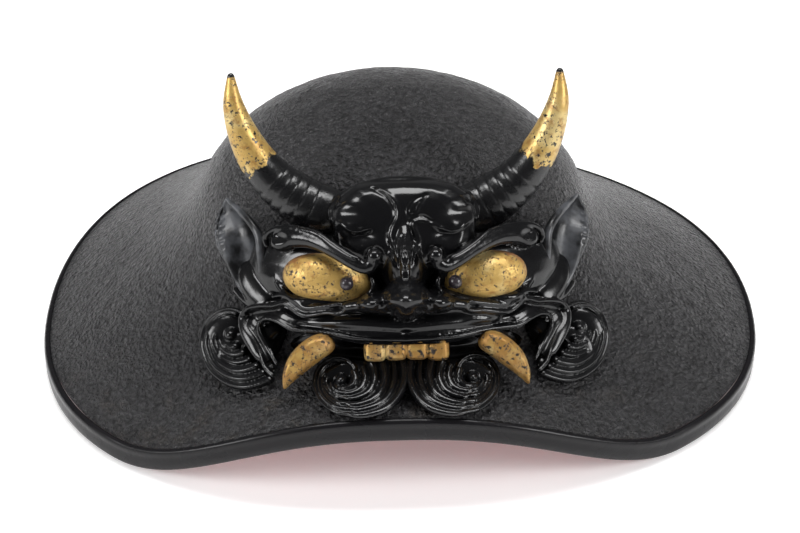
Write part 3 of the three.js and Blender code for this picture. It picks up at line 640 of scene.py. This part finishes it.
class Ground:
    """The hat's skin as the mask sees it: how far out it lies behind each place"""

    def __init__(self, hat, mask):
        self.frame = mask_frame(hat, mask)
        self.mask = mask
        shell = bpy.data.objects["jingasa_shell"]
        tree = BVHTree.FromObject(shell, bpy.context.evaluated_depsgraph_get())
        self.steps = np.arange(-FIELD_HALF, FIELD_HALF + 1, FIELD_STEP) * MM
        out = self.frame.to_3x3() @ Vector((0, 0, 1))
        self.heights = np.zeros((len(self.steps), len(self.steps)))
        for i, x in enumerate(self.steps):
            for j, y in enumerate(self.steps):
                start = self.frame @ Vector((x, y, hat.wide))
                hit = tree.ray_cast(start, -out)[0]
                self.heights[i, j] = hat.wide - (hit - start).length if hit else -hat.wide

    @staticmethod
    @cache
    def found():
        """The skin, sounded once for all the pieces of the mask"""
        return Ground(*settings())

    def out(self, x, y):
        """How far out the skin lies at places of the mask, in metres"""
        step = self.steps[1] - self.steps[0]
        i = np.clip((np.asarray(x) - self.steps[0]) / step, 0, len(self.steps) - 1.001)
        j = np.clip((np.asarray(y) - self.steps[0]) / step, 0, len(self.steps) - 1.001)
        a, b = np.floor(i).astype(int), np.floor(j).astype(int)
        u, v = i - a, j - b
        h = self.heights
        return ((h[a, b] * (1 - u) + h[a + 1, b] * u) * (1 - v)
                + (h[a, b + 1] * (1 - u) + h[a + 1, b + 1] * u) * v)

    def spot(self, side, across, up, lift):
        """A place above the skin, from shares"""
        x = side * across * self.mask.reach
        y = up * self.mask.reach
        return np.array([x, y, float(self.out(x, y)) + lift * self.mask.deep])

    def spots(self, side, rows, thick):
        """Rows of places above the skin, each with its radius"""
        return np.array([[*self.spot(side, row.across, row.up, row.lift), row.thick * thick]
                         for row in rows])

    def settle(self, piece):
        """Lets the piece's back into the skin, and turns the piece from the mask's frame"""
        points = points_of(piece)
        floor = self.out(points[:, 0], points[:, 1]) - self.mask.sunk
        points[:, 2] = np.maximum(points[:, 2], floor)
        set_points(piece, points)
        piece.data.transform(self.frame)


def mass(name, centre, half, power=2.0, roll=0.0, segments=28, rings=20):
    """A rounded mass: a sphere stretched to its half sizes, boxier where the power is above 2"""
    piece, points, _, _ = sphere(name, segments, rings)
    size = (np.abs(points) ** power).sum(1) ** (1 / power)
    points = points / size[:, None] * np.asarray(half)
    turned = points @ np.array(Matrix.Rotation(-roll, 3, "Z"))
    set_points(piece, turned + np.asarray(centre))
    return piece


def strand(name, rows, sides=14, rings=40, flat=1.0, ripple=None):
    """A round-ended strand along rows of x, y, z and radius, flattened across the mask"""
    piece, _, turn, ring = sphere(name, sides, rings)
    t = (1 - np.cos(math.pi * np.arange(rings + 1) / rings)) / 2
    line, run = smooth_line(rows, t)
    middle = line[:, :3]
    along = np.gradient(middle, axis=0)
    along /= np.linalg.norm(along, axis=1)[:, None]
    side = np.cross(along, (0, 0, 1))
    side /= np.linalg.norm(side, axis=1)[:, None]
    face = np.cross(side, along)
    radius = line[:, 3].copy()
    if ripple:
        radius -= ripple(t)
    near_end = np.minimum(t, 1 - t) * run
    cap = np.clip(near_end / np.maximum(line[:, 3], MM / 10), 0, 1)
    radius *= np.sqrt(np.clip(1 - (1 - cap) ** 2, 0, 1))
    points = (middle[ring] + side[ring] * (np.cos(turn) * radius[ring])[:, None]
              + face[ring] * (np.sin(turn) * radius[ring] * flat)[:, None])
    set_points(piece, points)
    face_outwards(piece)
    return piece, t[ring]


def line_distance(points, spots, reach):
    """How far points of the mask lie from a smooth line through these spots"""
    shares = np.linspace(0, 1, LINE_PLACES)
    line = smooth_line([(x * reach, y * reach, 0) for x, y in spots], shares)[0]
    gap = points[:, None, :2] - line[None, :, :2]
    return np.sqrt((gap ** 2).sum(2).min(1))


def carve(piece, lines, dents, mask):
    """Cuts grooves, raises ridges and presses hollows in a mask's front, in the mask's frame"""
    points = points_of(piece)
    facing = np.clip(normals_of(piece)[:, 2] * CUT_FACING, 0, 1)
    drop = np.zeros(len(points))
    for row in lines:
        for side in ((1, -1) if row.side else (1,)):
            spots = [(side * x, y) for x, y in row.spots]
            low = np.min(spots, axis=0) * mask.reach - CUT_REACH * row.width * MM
            high = np.max(spots, axis=0) * mask.reach + CUT_REACH * row.width * MM
            near = np.all((points[:, :2] > low) & (points[:, :2] < high), axis=1)
            if near.any():
                distance = line_distance(points[near], spots, mask.reach)
                drop[near] += row.depth * MM * np.exp(-(distance / (row.width * MM)) ** 2)
    for row in dents:
        for side in ((1, -1) if row.side else (1,)):
            x = (points[:, 0] / mask.reach - side * row.across) / row.wide
            y = (points[:, 1] / mask.reach - row.up) / row.tall
            drop += row.depth * MM * np.exp(-(x ** 2 + y ** 2))
    points[:, 2] -= drop * facing
    set_points(piece, points)


# Finishes. A Socket is one value, colour or vector of a material under construction.
class Socket:
    def __init__(self, finish, socket):
        self.finish = finish
        self.socket = socket

    def _math(self, operation, *values, clamp=False):
        inputs = dict(enumerate(values))
        return self.finish.node("ShaderNodeMath", {"operation": operation, "use_clamp": clamp}, inputs)

    def __add__(self, other):
        return self._math("ADD", self, other)

    __radd__ = __add__

    def __sub__(self, other):
        return self._math("SUBTRACT", self, other)

    def __rsub__(self, other):
        return self._math("SUBTRACT", other, self)

    def __mul__(self, other):
        return self._math("MULTIPLY", self, other)

    __rmul__ = __mul__

    def clamped(self):
        """The value kept between 0 and 1"""
        return self._math("ADD", self, 0.0, clamp=True)

    def step(self, start, end):
        """0 up to start, 1 from end on, smooth between them"""
        return self.finish.node("ShaderNodeMapRange", {"interpolation_type": "SMOOTHSTEP"},
                                {"Value": self, "From Min": start, "From Max": end})


class Finish:
    """A material of one shader, built up from patterns on Object coordinates"""

    def __init__(self, name, **uniform):
        self.material = bpy.data.materials.new(name)
        self.material.use_nodes = True
        self.shader = self.material.node_tree.nodes["Principled BSDF"]
        self.place = self.node("ShaderNodeTexCoord", {}, {}, "Object")
        for socket, value in uniform.items():
            self.shader.inputs[socket.replace("_", " ")].default_value = value

    def node(self, kind, choices, inputs, output=0):
        """Adds a node with its choices and inputs, and gives one of its outputs"""
        node = self.material.node_tree.nodes.new(kind)
        for choice, value in choices.items():
            setattr(node, choice, value)
        for socket, value in inputs.items():
            self.link(value, node.inputs[socket])
        return Socket(self, node.outputs[output])

    def link(self, value, socket):
        """Gives an input a link, a number or a colour"""
        if isinstance(value, Socket):
            self.material.node_tree.links.new(value.socket, socket)
        elif isinstance(socket.default_value, (int, float)):
            socket.default_value = value
        else:
            size = len(socket.default_value)
            socket.default_value = (tuple(value) + (1.0,))[:size]

    def set(self, **inputs):
        """Gives the shader its inputs"""
        for socket, value in inputs.items():
            self.link(value, self.shader.inputs[socket.replace("_", " ")])

    def mix(self, factor, first, second):
        """The first colour where the factor is 0, the second where it is 1"""
        return self.node("ShaderNodeMix", {"data_type": "RGBA"}, {0: factor, 6: first, 7: second}, 2)

    def stretched(self, stretch):
        return self.node("ShaderNodeVectorMath", {"operation": "MULTIPLY"},
                         {0: self.place, 1: stretch})

    def noise(self, per_metre, detail=2.0, roughness=0.5, distortion=0.0, place=None):
        return self.node("ShaderNodeTexNoise", {"normalize": True},
                         {"Vector": place or self.place, "Scale": per_metre, "Detail": detail,
                          "Roughness": roughness, "Distortion": distortion})

    def pebbles(self, per_metre, place):
        return self.node("ShaderNodeTexVoronoi", {"feature": "SMOOTH_F1"},
                         {"Vector": place, "Scale": per_metre}, "Distance")

    def bump(self, height, distance, strength=1.0):
        return self.node("ShaderNodeBump", {},
                         {"Strength": strength, "Distance": distance, "Height": height})

    def attribute(self, name):
        return self.node("ShaderNodeAttribute", {"attribute_name": name}, {}, "Fac")

    def axis(self, index):
        return self.node("ShaderNodeSeparateXYZ", {}, {"Vector": self.place}, index)


def hide_lacquer(colours):
    """Charcoal lacquer over a pebbled ground, finely wrinkled, with browner rubbed patches and painted
    shade in the pits of the pebbles
    """
    finish = Finish("hide_lacquer", Specular_IOR_Level=0.5)
    drift = finish.noise(18, 3)
    wrinkle = finish.noise(400, 3, 0.55, 0.8, finish.stretched((1, 1, 1.5)))
    pebble = 1 - finish.pebbles(460, finish.stretched((1, 1, 1.3)))
    fine = finish.noise(1300, 2)
    height = wrinkle * 0.9 + pebble * 0.5 + fine * 0.1
    rubbed = finish.noise(60, 4).step(0.52, 0.7) * (0 - finish.axis(1)).step(0.06, 0.15)
    base = finish.mix(rubbed * 0.7, colours.shell, colours.shell_worn)
    # Painted shade: the lower the pebbled relief, the nearer the colour comes to the dark pit colour
    base = finish.mix(height.step(0.55, 1.02), colours.shell_pit_shade, base)
    finish.set(Base_Color=base, Roughness=0.3 + drift * 0.14 - height.step(0.7, 1.05) * 0.08,
               Normal=finish.bump(height, 0.011))
    return finish.material


def band_lacquer(colours):
    """Smooth black lacquer of the band, with a few spots worn to the wood along its top edge"""
    finish = Finish("band_lacquer", Specular_IOR_Level=0.2)
    top = finish.attribute("worn").step(0.4, 1.0)
    spots = finish.noise(170, 4, 0.6, 0, finish.stretched((0.4, 1, 1))).step(0.64, 0.72)
    sheen = finish.noise(40, 3)
    finish.set(Base_Color=finish.mix(spots * top, colours.band, colours.band_worn),
               Roughness=0.22 + sheen * 0.12 + spots * top * 0.2,
               Normal=finish.bump(finish.noise(90, 3) + finish.noise(700, 2) * 0.15, 0.0006, 0.6))
    return finish.material


def mask_lacquer(colours):
    """Deep glossy black lacquer, a little duller and greyer in patches"""
    finish = Finish("mask_lacquer", Specular_IOR_Level=0.36)
    drift = finish.noise(70, 4)
    dust = finish.noise(900, 3).step(0.62, 0.75) * drift.step(0.45, 0.7)
    outer = (finish.axis(0) * finish.axis(0)).step(0.0034, 0.0060)
    finish.set(Base_Color=finish.mix(dust * 0.35, colours.mask, (0.05, 0.045, 0.04)),
               Roughness=0.12 + drift * 0.12 + dust * 0.2 + outer * 0.06,
               Normal=finish.bump(finish.noise(240, 3) + drift, 0.0003, 0.2))
    return finish.material


def ear_lacquer(colours):
    """Lacquer of the ears, paler, bluer and duller in patches: partly rubbed lacquer and partly a painted
    pale sheen
    """
    finish = Finish("ear_lacquer", Specular_IOR_Level=0.5)
    # Painted sheen as well as rubbing: these patches are painted paler and bluer, and rougher
    rubbed = finish.noise(90, 4, 0.6).step(0.35, 0.65)
    finish.set(Base_Color=finish.mix(rubbed, colours.mask, colours.ear),
               Roughness=0.28 + rubbed * 0.16,
               Normal=finish.bump(finish.noise(320, 3), 0.0003, 0.3))
    return finish.material


def leaf_patterns(finish, colours, worn):
    """Aged gold leaf over a dark ground: colour and how much leaf is left"""
    tone = finish.noise(120, 4, 0.6)
    pale = finish.noise(60, 3).step(0.5, 0.68)
    brown = finish.noise(210, 4, 0.65).step(0.5, 0.68)
    specks = finish.noise(620, 5, 0.7).step(0.54, 0.61)
    flakes = finish.noise(380, 4, 0.65).step(0.6 - worn, 0.64 - worn)
    gold = finish.mix(pale, colours.gold, colours.gold_pale)
    gold = finish.mix(brown * 0.7, gold, colours.gold_dark)
    bare = (specks * tone.step(0.44, 0.56) + flakes).clamped()
    return gold, bare


def tooth_leaf(colours):
    """Gold leaf of the teeth and fangs, worn, and browned in patches: partly aged leaf and partly painted
    shade that darkens them
    """
    finish = Finish("tooth_leaf")
    gold, bare = leaf_patterns(finish, colours, 0.035)
    # Partly painted shade: these brown patches darken the teeth and fangs overall, as well as standing
    # for aged leaf
    gold = finish.mix(finish.noise(150, 3).step(0.3, 0.55) * 0.7, gold, colours.gold_dark)
    finish.set(Base_Color=finish.mix(bare, gold, colours.soot), Metallic=(1 - bare) * 0.5,
               Roughness=0.34 + finish.noise(300, 3) * 0.25,
               Normal=finish.bump(finish.noise(500, 4) - bare * 0.6, 0.0005, 0.6))
    return finish.material


def eye_leaf(colours):
    """Worn gold leaf of the eyes, browner and redder towards the lids"""
    finish = Finish("eye_leaf")
    gold, bare = leaf_patterns(finish, colours, 0.0)
    rim = finish.attribute("rim")
    edge = (rim + finish.noise(260, 4) * 0.3).step(1.1, 1.3)
    red = (rim + finish.noise(420, 4) * 0.4).step(1.14, 1.3)
    gold = finish.mix(edge * 0.7, gold, colours.gold_dark)
    gold = finish.mix(red * 0.6, gold, colours.rust)
    finish.set(Base_Color=finish.mix(bare, gold, colours.soot),
               Metallic=((1 - bare) * (1 - edge * 0.6)) * 0.5,
               Roughness=0.34 + finish.noise(300, 3) * 0.25,
               Normal=finish.bump(finish.noise(420, 4) - bare * 0.6, 0.0006, 0.6))
    return finish.material


def horn_leaf(colours):
    """Black lacquer at the horn's foot and worn leaf above it, which ends in a ragged edge"""
    finish = Finish("horn_leaf")
    gold, bare = leaf_patterns(finish, colours, 0.0)
    along = finish.attribute("along")
    edge = along + (finish.noise(150, 4, 0.6) - 0.5) * 0.17
    leaf = edge.step(HORN_GOLD, HORN_GOLD + 0.012)
    tip = along.step(0.975, 0.985)
    shown = (leaf * (1 - bare) * (1 - tip)).clamped()
    finish.set(Base_Color=finish.mix(shown, colours.mask, gold), Metallic=shown * 0.5,
               Roughness=0.2 + shown * 0.12 + finish.noise(200, 3) * 0.15,
               Normal=finish.bump(finish.noise(420, 4) + shown * 0.6, 0.0004, 0.5))
    return finish.material


def pupil_lacquer(colours):
    """Dark lacquer of the pupils with a dull bloom"""
    finish = Finish("pupil_lacquer")
    bloom = finish.noise(700, 3).step(0.45, 0.65)
    finish.set(Base_Color=finish.mix(bloom, colours.pupil, (0.012, 0.010, 0.012)),
               Roughness=0.22 + bloom * 0.2)
    return finish.material


def inside_lacquer(colours):
    """Red lacquer of the inside, darker where hands and sweat have dulled it"""
    finish = Finish("inside_lacquer", Specular_IOR_Level=0.5)
    drift = finish.noise(25, 4)
    dark = (colours.inside[0] * 0.55, colours.inside[1] * 0.6, colours.inside[2] * 0.6)
    finish.set(Base_Color=finish.mix(drift.step(0.4, 0.75), colours.inside, dark),
               Roughness=0.25 + drift * 0.2,
               Normal=finish.bump(finish.noise(60, 3), 0.0006, 0.5))
    return finish.material


@cache
def finish_of(build):
    """The finish that this function builds, made the first time that a piece needs it"""
    return build(bpy.context.scene.jingasa_finishes)


def settings():
    """The sizes of the hat and of the mask"""
    scene = bpy.context.scene
    return scene.jingasa_hat, scene.jingasa_mask


def keep_value(piece, name, values):
    """Keeps one number for each vertex, which a finish reads"""
    attribute = piece.data.attributes.new(name, "FLOAT", "POINT")
    attribute.data.foreach_set("value", np.asarray(values, np.float32))


class JINGASA_OT_shell(bpy.types.Operator):
    """Models the domed shell, textured outside and red inside"""
    bl_idname = "jingasa.shell"
    bl_label = "Shell"

    def execute(self, context):
        hat, _ = settings()
        sections, dome_rows, flare_rows, inner_rows = 420, 66, 84, 48
        outer_rows = dome_rows + flare_rows
        piece, _, turn, ring = sphere("jingasa_shell", sections, outer_rows + inner_rows + 1)
        turns = np.linspace(0, 2 * math.pi, sections, endpoint=False)
        way, reach, crown, low, arch = hat_sections(hat, turns)
        out, high = hat_profile(hat, reach, crown, low, arch, dome_rows, flare_rows)
        inner_out, inner_high = thinned(out, high, hat.wall)
        inner_out[0] = 0
        column = np.rint(turn / (2 * math.pi) * sections).astype(int) % sections
        inside = ring > outer_rows
        row = np.where(inside, (outer_rows + inner_rows + 1 - ring) / inner_rows * outer_rows, ring)
        row = row.astype(float)
        place = hat_place(
            hat, way[column],
            np.where(inside, sample_rows(inner_out, row, column), sample_rows(out, row, column)),
            np.where(inside, sample_rows(inner_high, row, column), sample_rows(high, row, column)))
        set_points(piece, place)
        face_outwards(piece)
        # The skin rises and falls a little, as lacquer laid by hand over hide does
        normals = normals_of(piece)
        uneven = np.array([sum(part * noise.noise(Vector(p) * grain) for grain, part in DENT_GRAINS)
                           for p in place])
        fade = np.clip((outer_rows - row) / DENT_FADE_ROWS, 0, 1) * ~inside
        set_points(piece, place + normals * (uneven * fade * hat.dents)[:, None])
        piece.data.materials.append(finish_of(hide_lacquer))
        piece.data.materials.append(finish_of(inside_lacquer))
        for face in piece.data.polygons:
            face.material_index = int(all(inside[v] for v in face.vertices))
        finish_piece(piece, "hat_shell", finish_of(hide_lacquer))
        return {"FINISHED"}


class JINGASA_OT_band(bpy.types.Operator):
    """Models the smooth band round the brim's edge"""
    bl_idname = "jingasa.band"
    bl_label = "Rim band"

    def execute(self, context):
        hat, _ = settings()
        sections, sides = 360, 32
        bpy.ops.mesh.primitive_torus_add(major_segments=sections, minor_segments=sides,
                                         major_radius=1, minor_radius=0.25)
        piece = bpy.context.object
        piece.name = "rim_band_lacquered"
        points = points_of(piece)
        turn = np.arctan2(points[:, 1], points[:, 0])
        minor = np.arctan2(points[:, 2], np.hypot(points[:, 0], points[:, 1]) - 1)
        way, reach, _, low, _ = hat_sections(hat, turn)
        c, s = np.cos(minor), np.sin(minor)
        size = (np.abs(c) ** BAND_SQUARENESS + np.abs(s) ** BAND_SQUARENESS) ** (-1 / BAND_SQUARENESS)
        outward = hat.band_deep / 2 * (c * size - 1)
        up = hat.band_tall / 2 * (s * size + 1)
        share_up = up / hat.band_tall
        relief = sum(stand * np.exp(-((share_up - middle) / half) ** 2)
                     for middle, half, stand in BAND_RELIEF)
        outward += (relief - BAND_EASE) * (c > 0)
        place = hat_place(hat, way, reach + outward, low + up)
        set_points(piece, place)
        face_outwards(piece)
        front = np.clip(-place[:, 1] / hat.front - 0.55, 0, 1) * 2
        keep_value(piece, "worn", np.clip(share_up - 0.6, 0, 1) * 2.5 * front)
        finish_piece(piece, "rim_band", finish_of(band_lacquer))
        return {"FINISHED"}


class JINGASA_OT_mask(bpy.types.Operator):
    """Carves the demon's face: forehead, brows, lids, nose, cheeks and lip"""
    bl_idname = "jingasa.mask"
    bl_label = "Mask"

    def execute(self, context):
        _, mask = settings()
        ground = Ground.found()
        parts = []

        def add(side, row):
            parts.append(mass("mass", ground.spot(side, row.across, row.up, row.lift),
                              (row.wide * mask.reach, row.tall * mask.reach, row.deep * mask.deep),
                              row.power))

        for row in MASSES:
            add(1, row)
        parts.append(strand("bridge", ground.spots(1, BRIDGE, mask.deep))[0])
        for _, side in SIDES:
            for row in PAIRED_MASSES:
                add(side, row)
            for rows, flat in ROLLS:
                # A roll that begins in the middle begins a little beyond it, so that both meet
                if rows[0].across == 0:
                    rows = (rows[1]._replace(across=-rows[1].across), *rows)
                parts.append(strand("roll", ground.spots(side, rows, mask.deep), 14, 60, flat)[0])
        piece = fuse("mask_carved", parts, mask.grain, MASK_SMOOTHING)
        carve(piece, SKIN_LINES, DENTS, mask)
        apply_modifier(piece, "SMOOTH", factor=0.5, iterations=CARVED_SMOOTHING)
        ground.settle(piece)
        lighten(piece, MASK_TRIANGLES)
        finish_piece(piece, "mask_face", finish_of(mask_lacquer))
        return {"FINISHED"}


class JINGASA_OT_eyes(bpy.types.Operator):
    """Models the gilded eyeballs and the dark pupils set in them"""
    bl_idname = "jingasa.eyes"
    bl_label = "Eyes and pupils"

    def execute(self, context):
        _, mask = settings()
        ground = Ground.found()
        for name, side in SIDES:
            centre = ground.spot(side, EYE.across, EYE.up, EYE.lift)
            half = (mask.eye_wide, mask.eye_tall, mask.eye_deep)
            eye = mass(f"eyeball_{name}", centre, half, EYE_POWER, side * mask.eye_droop, 64, 44)
            points = points_of(eye)
            local = (points - centre) / np.array(half)
            keep_value(eye, "rim", np.hypot(local[:, 0], local[:, 1]))
            ground.settle(eye)
            finish_piece(eye, f"eye_{name}", finish_of(eye_leaf))
            spot = ground.spot(side, PUPIL_ACROSS[name], PUPIL.up, PUPIL.lift)
            pupil = mass(f"pupil_dome_{name}", spot, (mask.pupil,) * 3, 2, 0, 32, 24)
            pupil.data.transform(ground.frame)
            finish_piece(pupil, f"pupil_{name}", finish_of(pupil_lacquer))
        return {"FINISHED"}


class JINGASA_OT_horns(bpy.types.Operator):
    """Models the horns, ringed and black at the foot and gilded above"""
    bl_idname = "jingasa.horns"
    bl_label = "Horns"

    def execute(self, context):
        _, mask = settings()
        ground = Ground.found()

        def rings(t):
            """How deep the rings are at these shares of a horn's length"""
            return mask.ring_deep * sum(np.exp(-((t - at) / wide) ** 2) for at, wide in HORN_RINGS)

        for name, side in SIDES:
            base = float(ground.out(side * HORN_FOOT * mask.horn_spread, 0))
            rise = (1 + side * mask.horn_skew) * mask.horn_rise
            rows = [((side * row.across - row.shift) * mask.horn_spread, row.up * rise,
                     base + row.out * mask.deep, row.thick * mask.horn_thick) for row in HORN]
            horn, along = strand(f"horn_carved_{name}", rows, 48, 320, 1.0, rings)
            keep_value(horn, "along", along)
            ground.settle(horn)
            finish_piece(horn, f"horn_{name}", finish_of(horn_leaf))
        return {"FINISHED"}


class JINGASA_OT_teeth(bpy.types.Operator):
    """Models the gilded fangs and the row of front teeth"""
    bl_idname = "jingasa.teeth"
    bl_label = "Fangs and teeth"

    def execute(self, context):
        _, mask = settings()
        ground = Ground.found()
        for name, side in SIDES:
            rows = ground.spots(side, FANG, mask.fang)
            fang, _ = strand(f"fang_gilded_{name}", rows, 28, 60)
            carve(fang, (FANG_RIDGE,), (), mask)
            ground.settle(fang)
            finish_piece(fang, f"fang_{name}", finish_of(tooth_leaf))
        teeth = []
        for place in TOOTH_PLACES:
            spot = ground.spot(1, place * mask.tooth_wide / mask.reach,
                               TEETH.up - TOOTH_DROP * place ** 2, TEETH.lift)
            half = (mask.tooth_wide * TOOTH_HALF, mask.tooth_tall / 2, mask.tooth_deep / 2)
            centre = spot + np.array([0, 0, half[2]])
            teeth.append(mass("tooth", centre, half, TOOTH_POWER, 0, 40, 28))
        row = fuse("teeth_gilded", teeth, TOOTH_GRAIN, FINE_SMOOTHING)
        ground.settle(row)
        finish_piece(row, "front_teeth", finish_of(tooth_leaf))
        return {"FINISHED"}


class JINGASA_OT_ears(bpy.types.Operator):
    """Models the dished, pointed ears"""
    bl_idname = "jingasa.ears"
    bl_label = "Ears"

    def execute(self, context):
        _, mask = settings()
        ground = Ground.found()
        for name, side in SIDES:
            parts = [strand("ear", ground.spots(side, rows, mask.deep), sides, 50, flat)[0]
                     for rows, sides, flat in EAR_STRANDS]
            ear = fuse(f"ear_carved_{name}", parts, mask.curl_grain, EAR_SMOOTHING)
            carve(ear, EAR_LINES, (), mask)
            ground.settle(ear)
            finish_piece(ear, f"ear_{name}", finish_of(ear_lacquer))
        return {"FINISHED"}


class JINGASA_OT_scrolls(bpy.types.Operator):
    """Models the scrolls of hair at the cheeks and the chin"""
    bl_idname = "jingasa.scrolls"
    bl_label = "Scrolls"

    def execute(self, context):
        _, mask = settings()
        ground = Ground.found()
        for kind, form in CURLS.items():
            turns, sizes = np.array(form.outline, float).T
            whole = getattr(mask, f"{kind}_curl")
            gap = (1 - LOCK_INNER) / (len(form.ends) - 1)
            for name, side in SIDES:
                parts = []
                for k, end in enumerate(form.ends):
                    rows = []
                    for turn in np.linspace(turns[0], end, LOCK_SPOTS):
                        size = whole * np.interp(turn, turns, sizes)
                        middle = (1 - gap * (k + 0.5)) * size / mask.reach
                        angle_here = math.radians(turn)
                        spot = ground.spot(side, form.across + middle * math.cos(angle_here),
                                           form.up + middle * math.sin(angle_here),
                                           form.lift + LOCK_WAVE * math.sin(k * LOCK_SHIFT + angle_here))
                        rows.append((*spot, gap * size * LOCK_THICK))
                    parts.append(strand("lock", rows, 10, 90, LOCK_FLAT)[0])
                for bed in form.beds:
                    parts.append(mass("bed", ground.spot(side, bed.across, bed.up, 0),
                                      (bed.wide * mask.reach, bed.tall * mask.reach,
                                       form.lift * BED_LIFT * mask.deep)))
                heart = ground.spot(side, form.across, form.up, form.lift)
                radius = form.heart * mask.reach
                parts.append(mass("heart", heart, (radius, radius, form.lift * mask.deep)))
                scroll = fuse(f"{kind}_scroll_{name}", parts, mask.curl_grain, FINE_SMOOTHING)
                lighten(scroll, SCROLL_TRIANGLES)
                ground.settle(scroll)
                finish_piece(scroll, f"{kind}_curl_{name}",
                             finish_of(mask_lacquer))
        return {"FINISHED"}


def panel_light(name, place, aim, size, power):
    """An oblong soft light that faces its aim"""
    data = bpy.data.lights.new(name, "AREA")
    data.shape = "RECTANGLE"
    data.size, data.size_y = size
    data.energy = power
    light = bpy.data.objects.new(name, data)
    bpy.context.scene.collection.objects.link(light)
    light.location = place
    light.rotation_euler = (Vector(aim) - Vector(place)).to_track_quat("-Z", "Y").to_euler()


def light_room(tree, strength):
    """A room that is dim behind the camera and brighter beyond the hat, and white to look at"""
    background = tree.nodes["Background"]
    place = tree.nodes.new("ShaderNodeTexCoord")
    parts = tree.nodes.new("ShaderNodeSeparateXYZ")
    tree.links.new(place.outputs["Generated"], parts.inputs["Vector"])
    ramp = tree.nodes.new("ShaderNodeMapRange")
    ramp.inputs["From Min"].default_value = ROOM_FROM
    ramp.inputs["From Max"].default_value = ROOM_TO
    ramp.inputs["To Min"].default_value = ROOM_DIM * strength
    ramp.inputs["To Max"].default_value = ROOM_BRIGHT * strength
    tree.links.new(parts.outputs["Y"], ramp.inputs["Value"])
    seen = tree.nodes.new("ShaderNodeLightPath")
    pick = tree.nodes.new("ShaderNodeMix")
    tree.links.new(seen.outputs["Is Camera Ray"], pick.inputs[0])
    tree.links.new(ramp.outputs["Result"], pick.inputs[2])
    pick.inputs[3].default_value = 1.0
    tree.links.new(pick.outputs[0], background.inputs["Strength"])
    background.inputs["Color"].default_value = (1, 1, 1, 1)


class JINGASA_OT_studio(bpy.types.Operator):
    """Sets the pale floor, the soft lights and the camera"""
    bl_idname = "jingasa.studio"
    bl_label = "Studio"

    def execute(self, context):
        scene = context.scene
        studio = scene.jingasa_studio
        bpy.ops.mesh.primitive_plane_add(size=FLOOR_SIZE, location=(0, 0, -FLOOR_DROP))
        floor = context.object
        floor.name = "floor"
        ground = Finish("floor", Roughness=FLOOR_ROUGHNESS, Emission_Strength=studio.floor_glow,
                        Emission_Color=FLOOR_TINT)
        ground.set(Base_Color=scene.jingasa_finishes.floor)
        floor.data.materials.append(ground.material)

        world = scene.world or bpy.data.worlds.new("room")
        scene.world = world
        world.use_nodes = True
        light_room(world.node_tree, studio.sky)
        scene.view_settings.view_transform = "Standard"

        for name, place, aim, size, power in PANELS:
            panel_light(name, place, aim, size, getattr(studio, power))

        camera = bpy.data.objects.new("camera", bpy.data.cameras.new("camera"))
        scene.collection.objects.link(camera)
        scene.camera = camera
        aim = Vector((studio.aim_aside, studio.aim_back, studio.aim_high))
        back = Vector((0, -math.cos(studio.elevation), math.sin(studio.elevation)))
        camera.location = aim + back * studio.distance
        turn = (-back).to_track_quat("-Z", "Y").to_matrix().to_4x4()
        turn = turn @ Matrix.Rotation(studio.roll, 4, "Z")
        camera.rotation_euler = turn.to_euler()
        camera.data.lens = studio.lens
        camera.data.clip_start = CLIP_NEAR
        camera.data.clip_end = CLIP_FAR
        return {"FINISHED"}


class JINGASA_PT_panel(bpy.types.Panel):
    """Lists the pieces of the hat and its studio"""
    bl_label = "Lacquered jingasa"
    bl_idname = "JINGASA_PT_panel"
    bl_space_type = "VIEW_3D"
    bl_region_type = "UI"
    bl_category = "Jingasa"

    def draw(self, context):
        for group in ("jingasa_hat", "jingasa_mask", "jingasa_finishes", "jingasa_studio"):
            box = self.layout.box()
            values = getattr(context.scene, group)
            for name in values.bl_rna.properties.keys():
                if name not in ("rna_type", "name"):
                    box.prop(values, name)
        for operator in OPERATORS:
            self.layout.operator(operator.bl_idname)


GROUPS = {"jingasa_hat": HatSizes, "jingasa_mask": MaskSizes, "jingasa_finishes": Finishes,
          "jingasa_studio": StudioSizes}
OPERATORS = (JINGASA_OT_shell, JINGASA_OT_band, JINGASA_OT_mask, JINGASA_OT_eyes, JINGASA_OT_horns,
             JINGASA_OT_teeth, JINGASA_OT_ears, JINGASA_OT_scrolls, JINGASA_OT_studio)


def register():
    for cls in (*GROUPS.values(), *OPERATORS, JINGASA_PT_panel):
        bpy.utils.register_class(cls)
    for name, group in GROUPS.items():
        setattr(bpy.types.Scene, name, PointerProperty(type=group))


def unregister():
    for name in GROUPS:
        delattr(bpy.types.Scene, name)
    for cls in (JINGASA_PT_panel, *reversed(OPERATORS), *reversed(tuple(GROUPS.values()))):
        bpy.utils.unregister_class(cls)


def main():
    """Models the hat and its studio"""
    register()
    for operator in OPERATORS:
        family, name = operator.bl_idname.split(".")
        getattr(getattr(bpy.ops, family), name)()


if __name__ == "__main__":
    main()
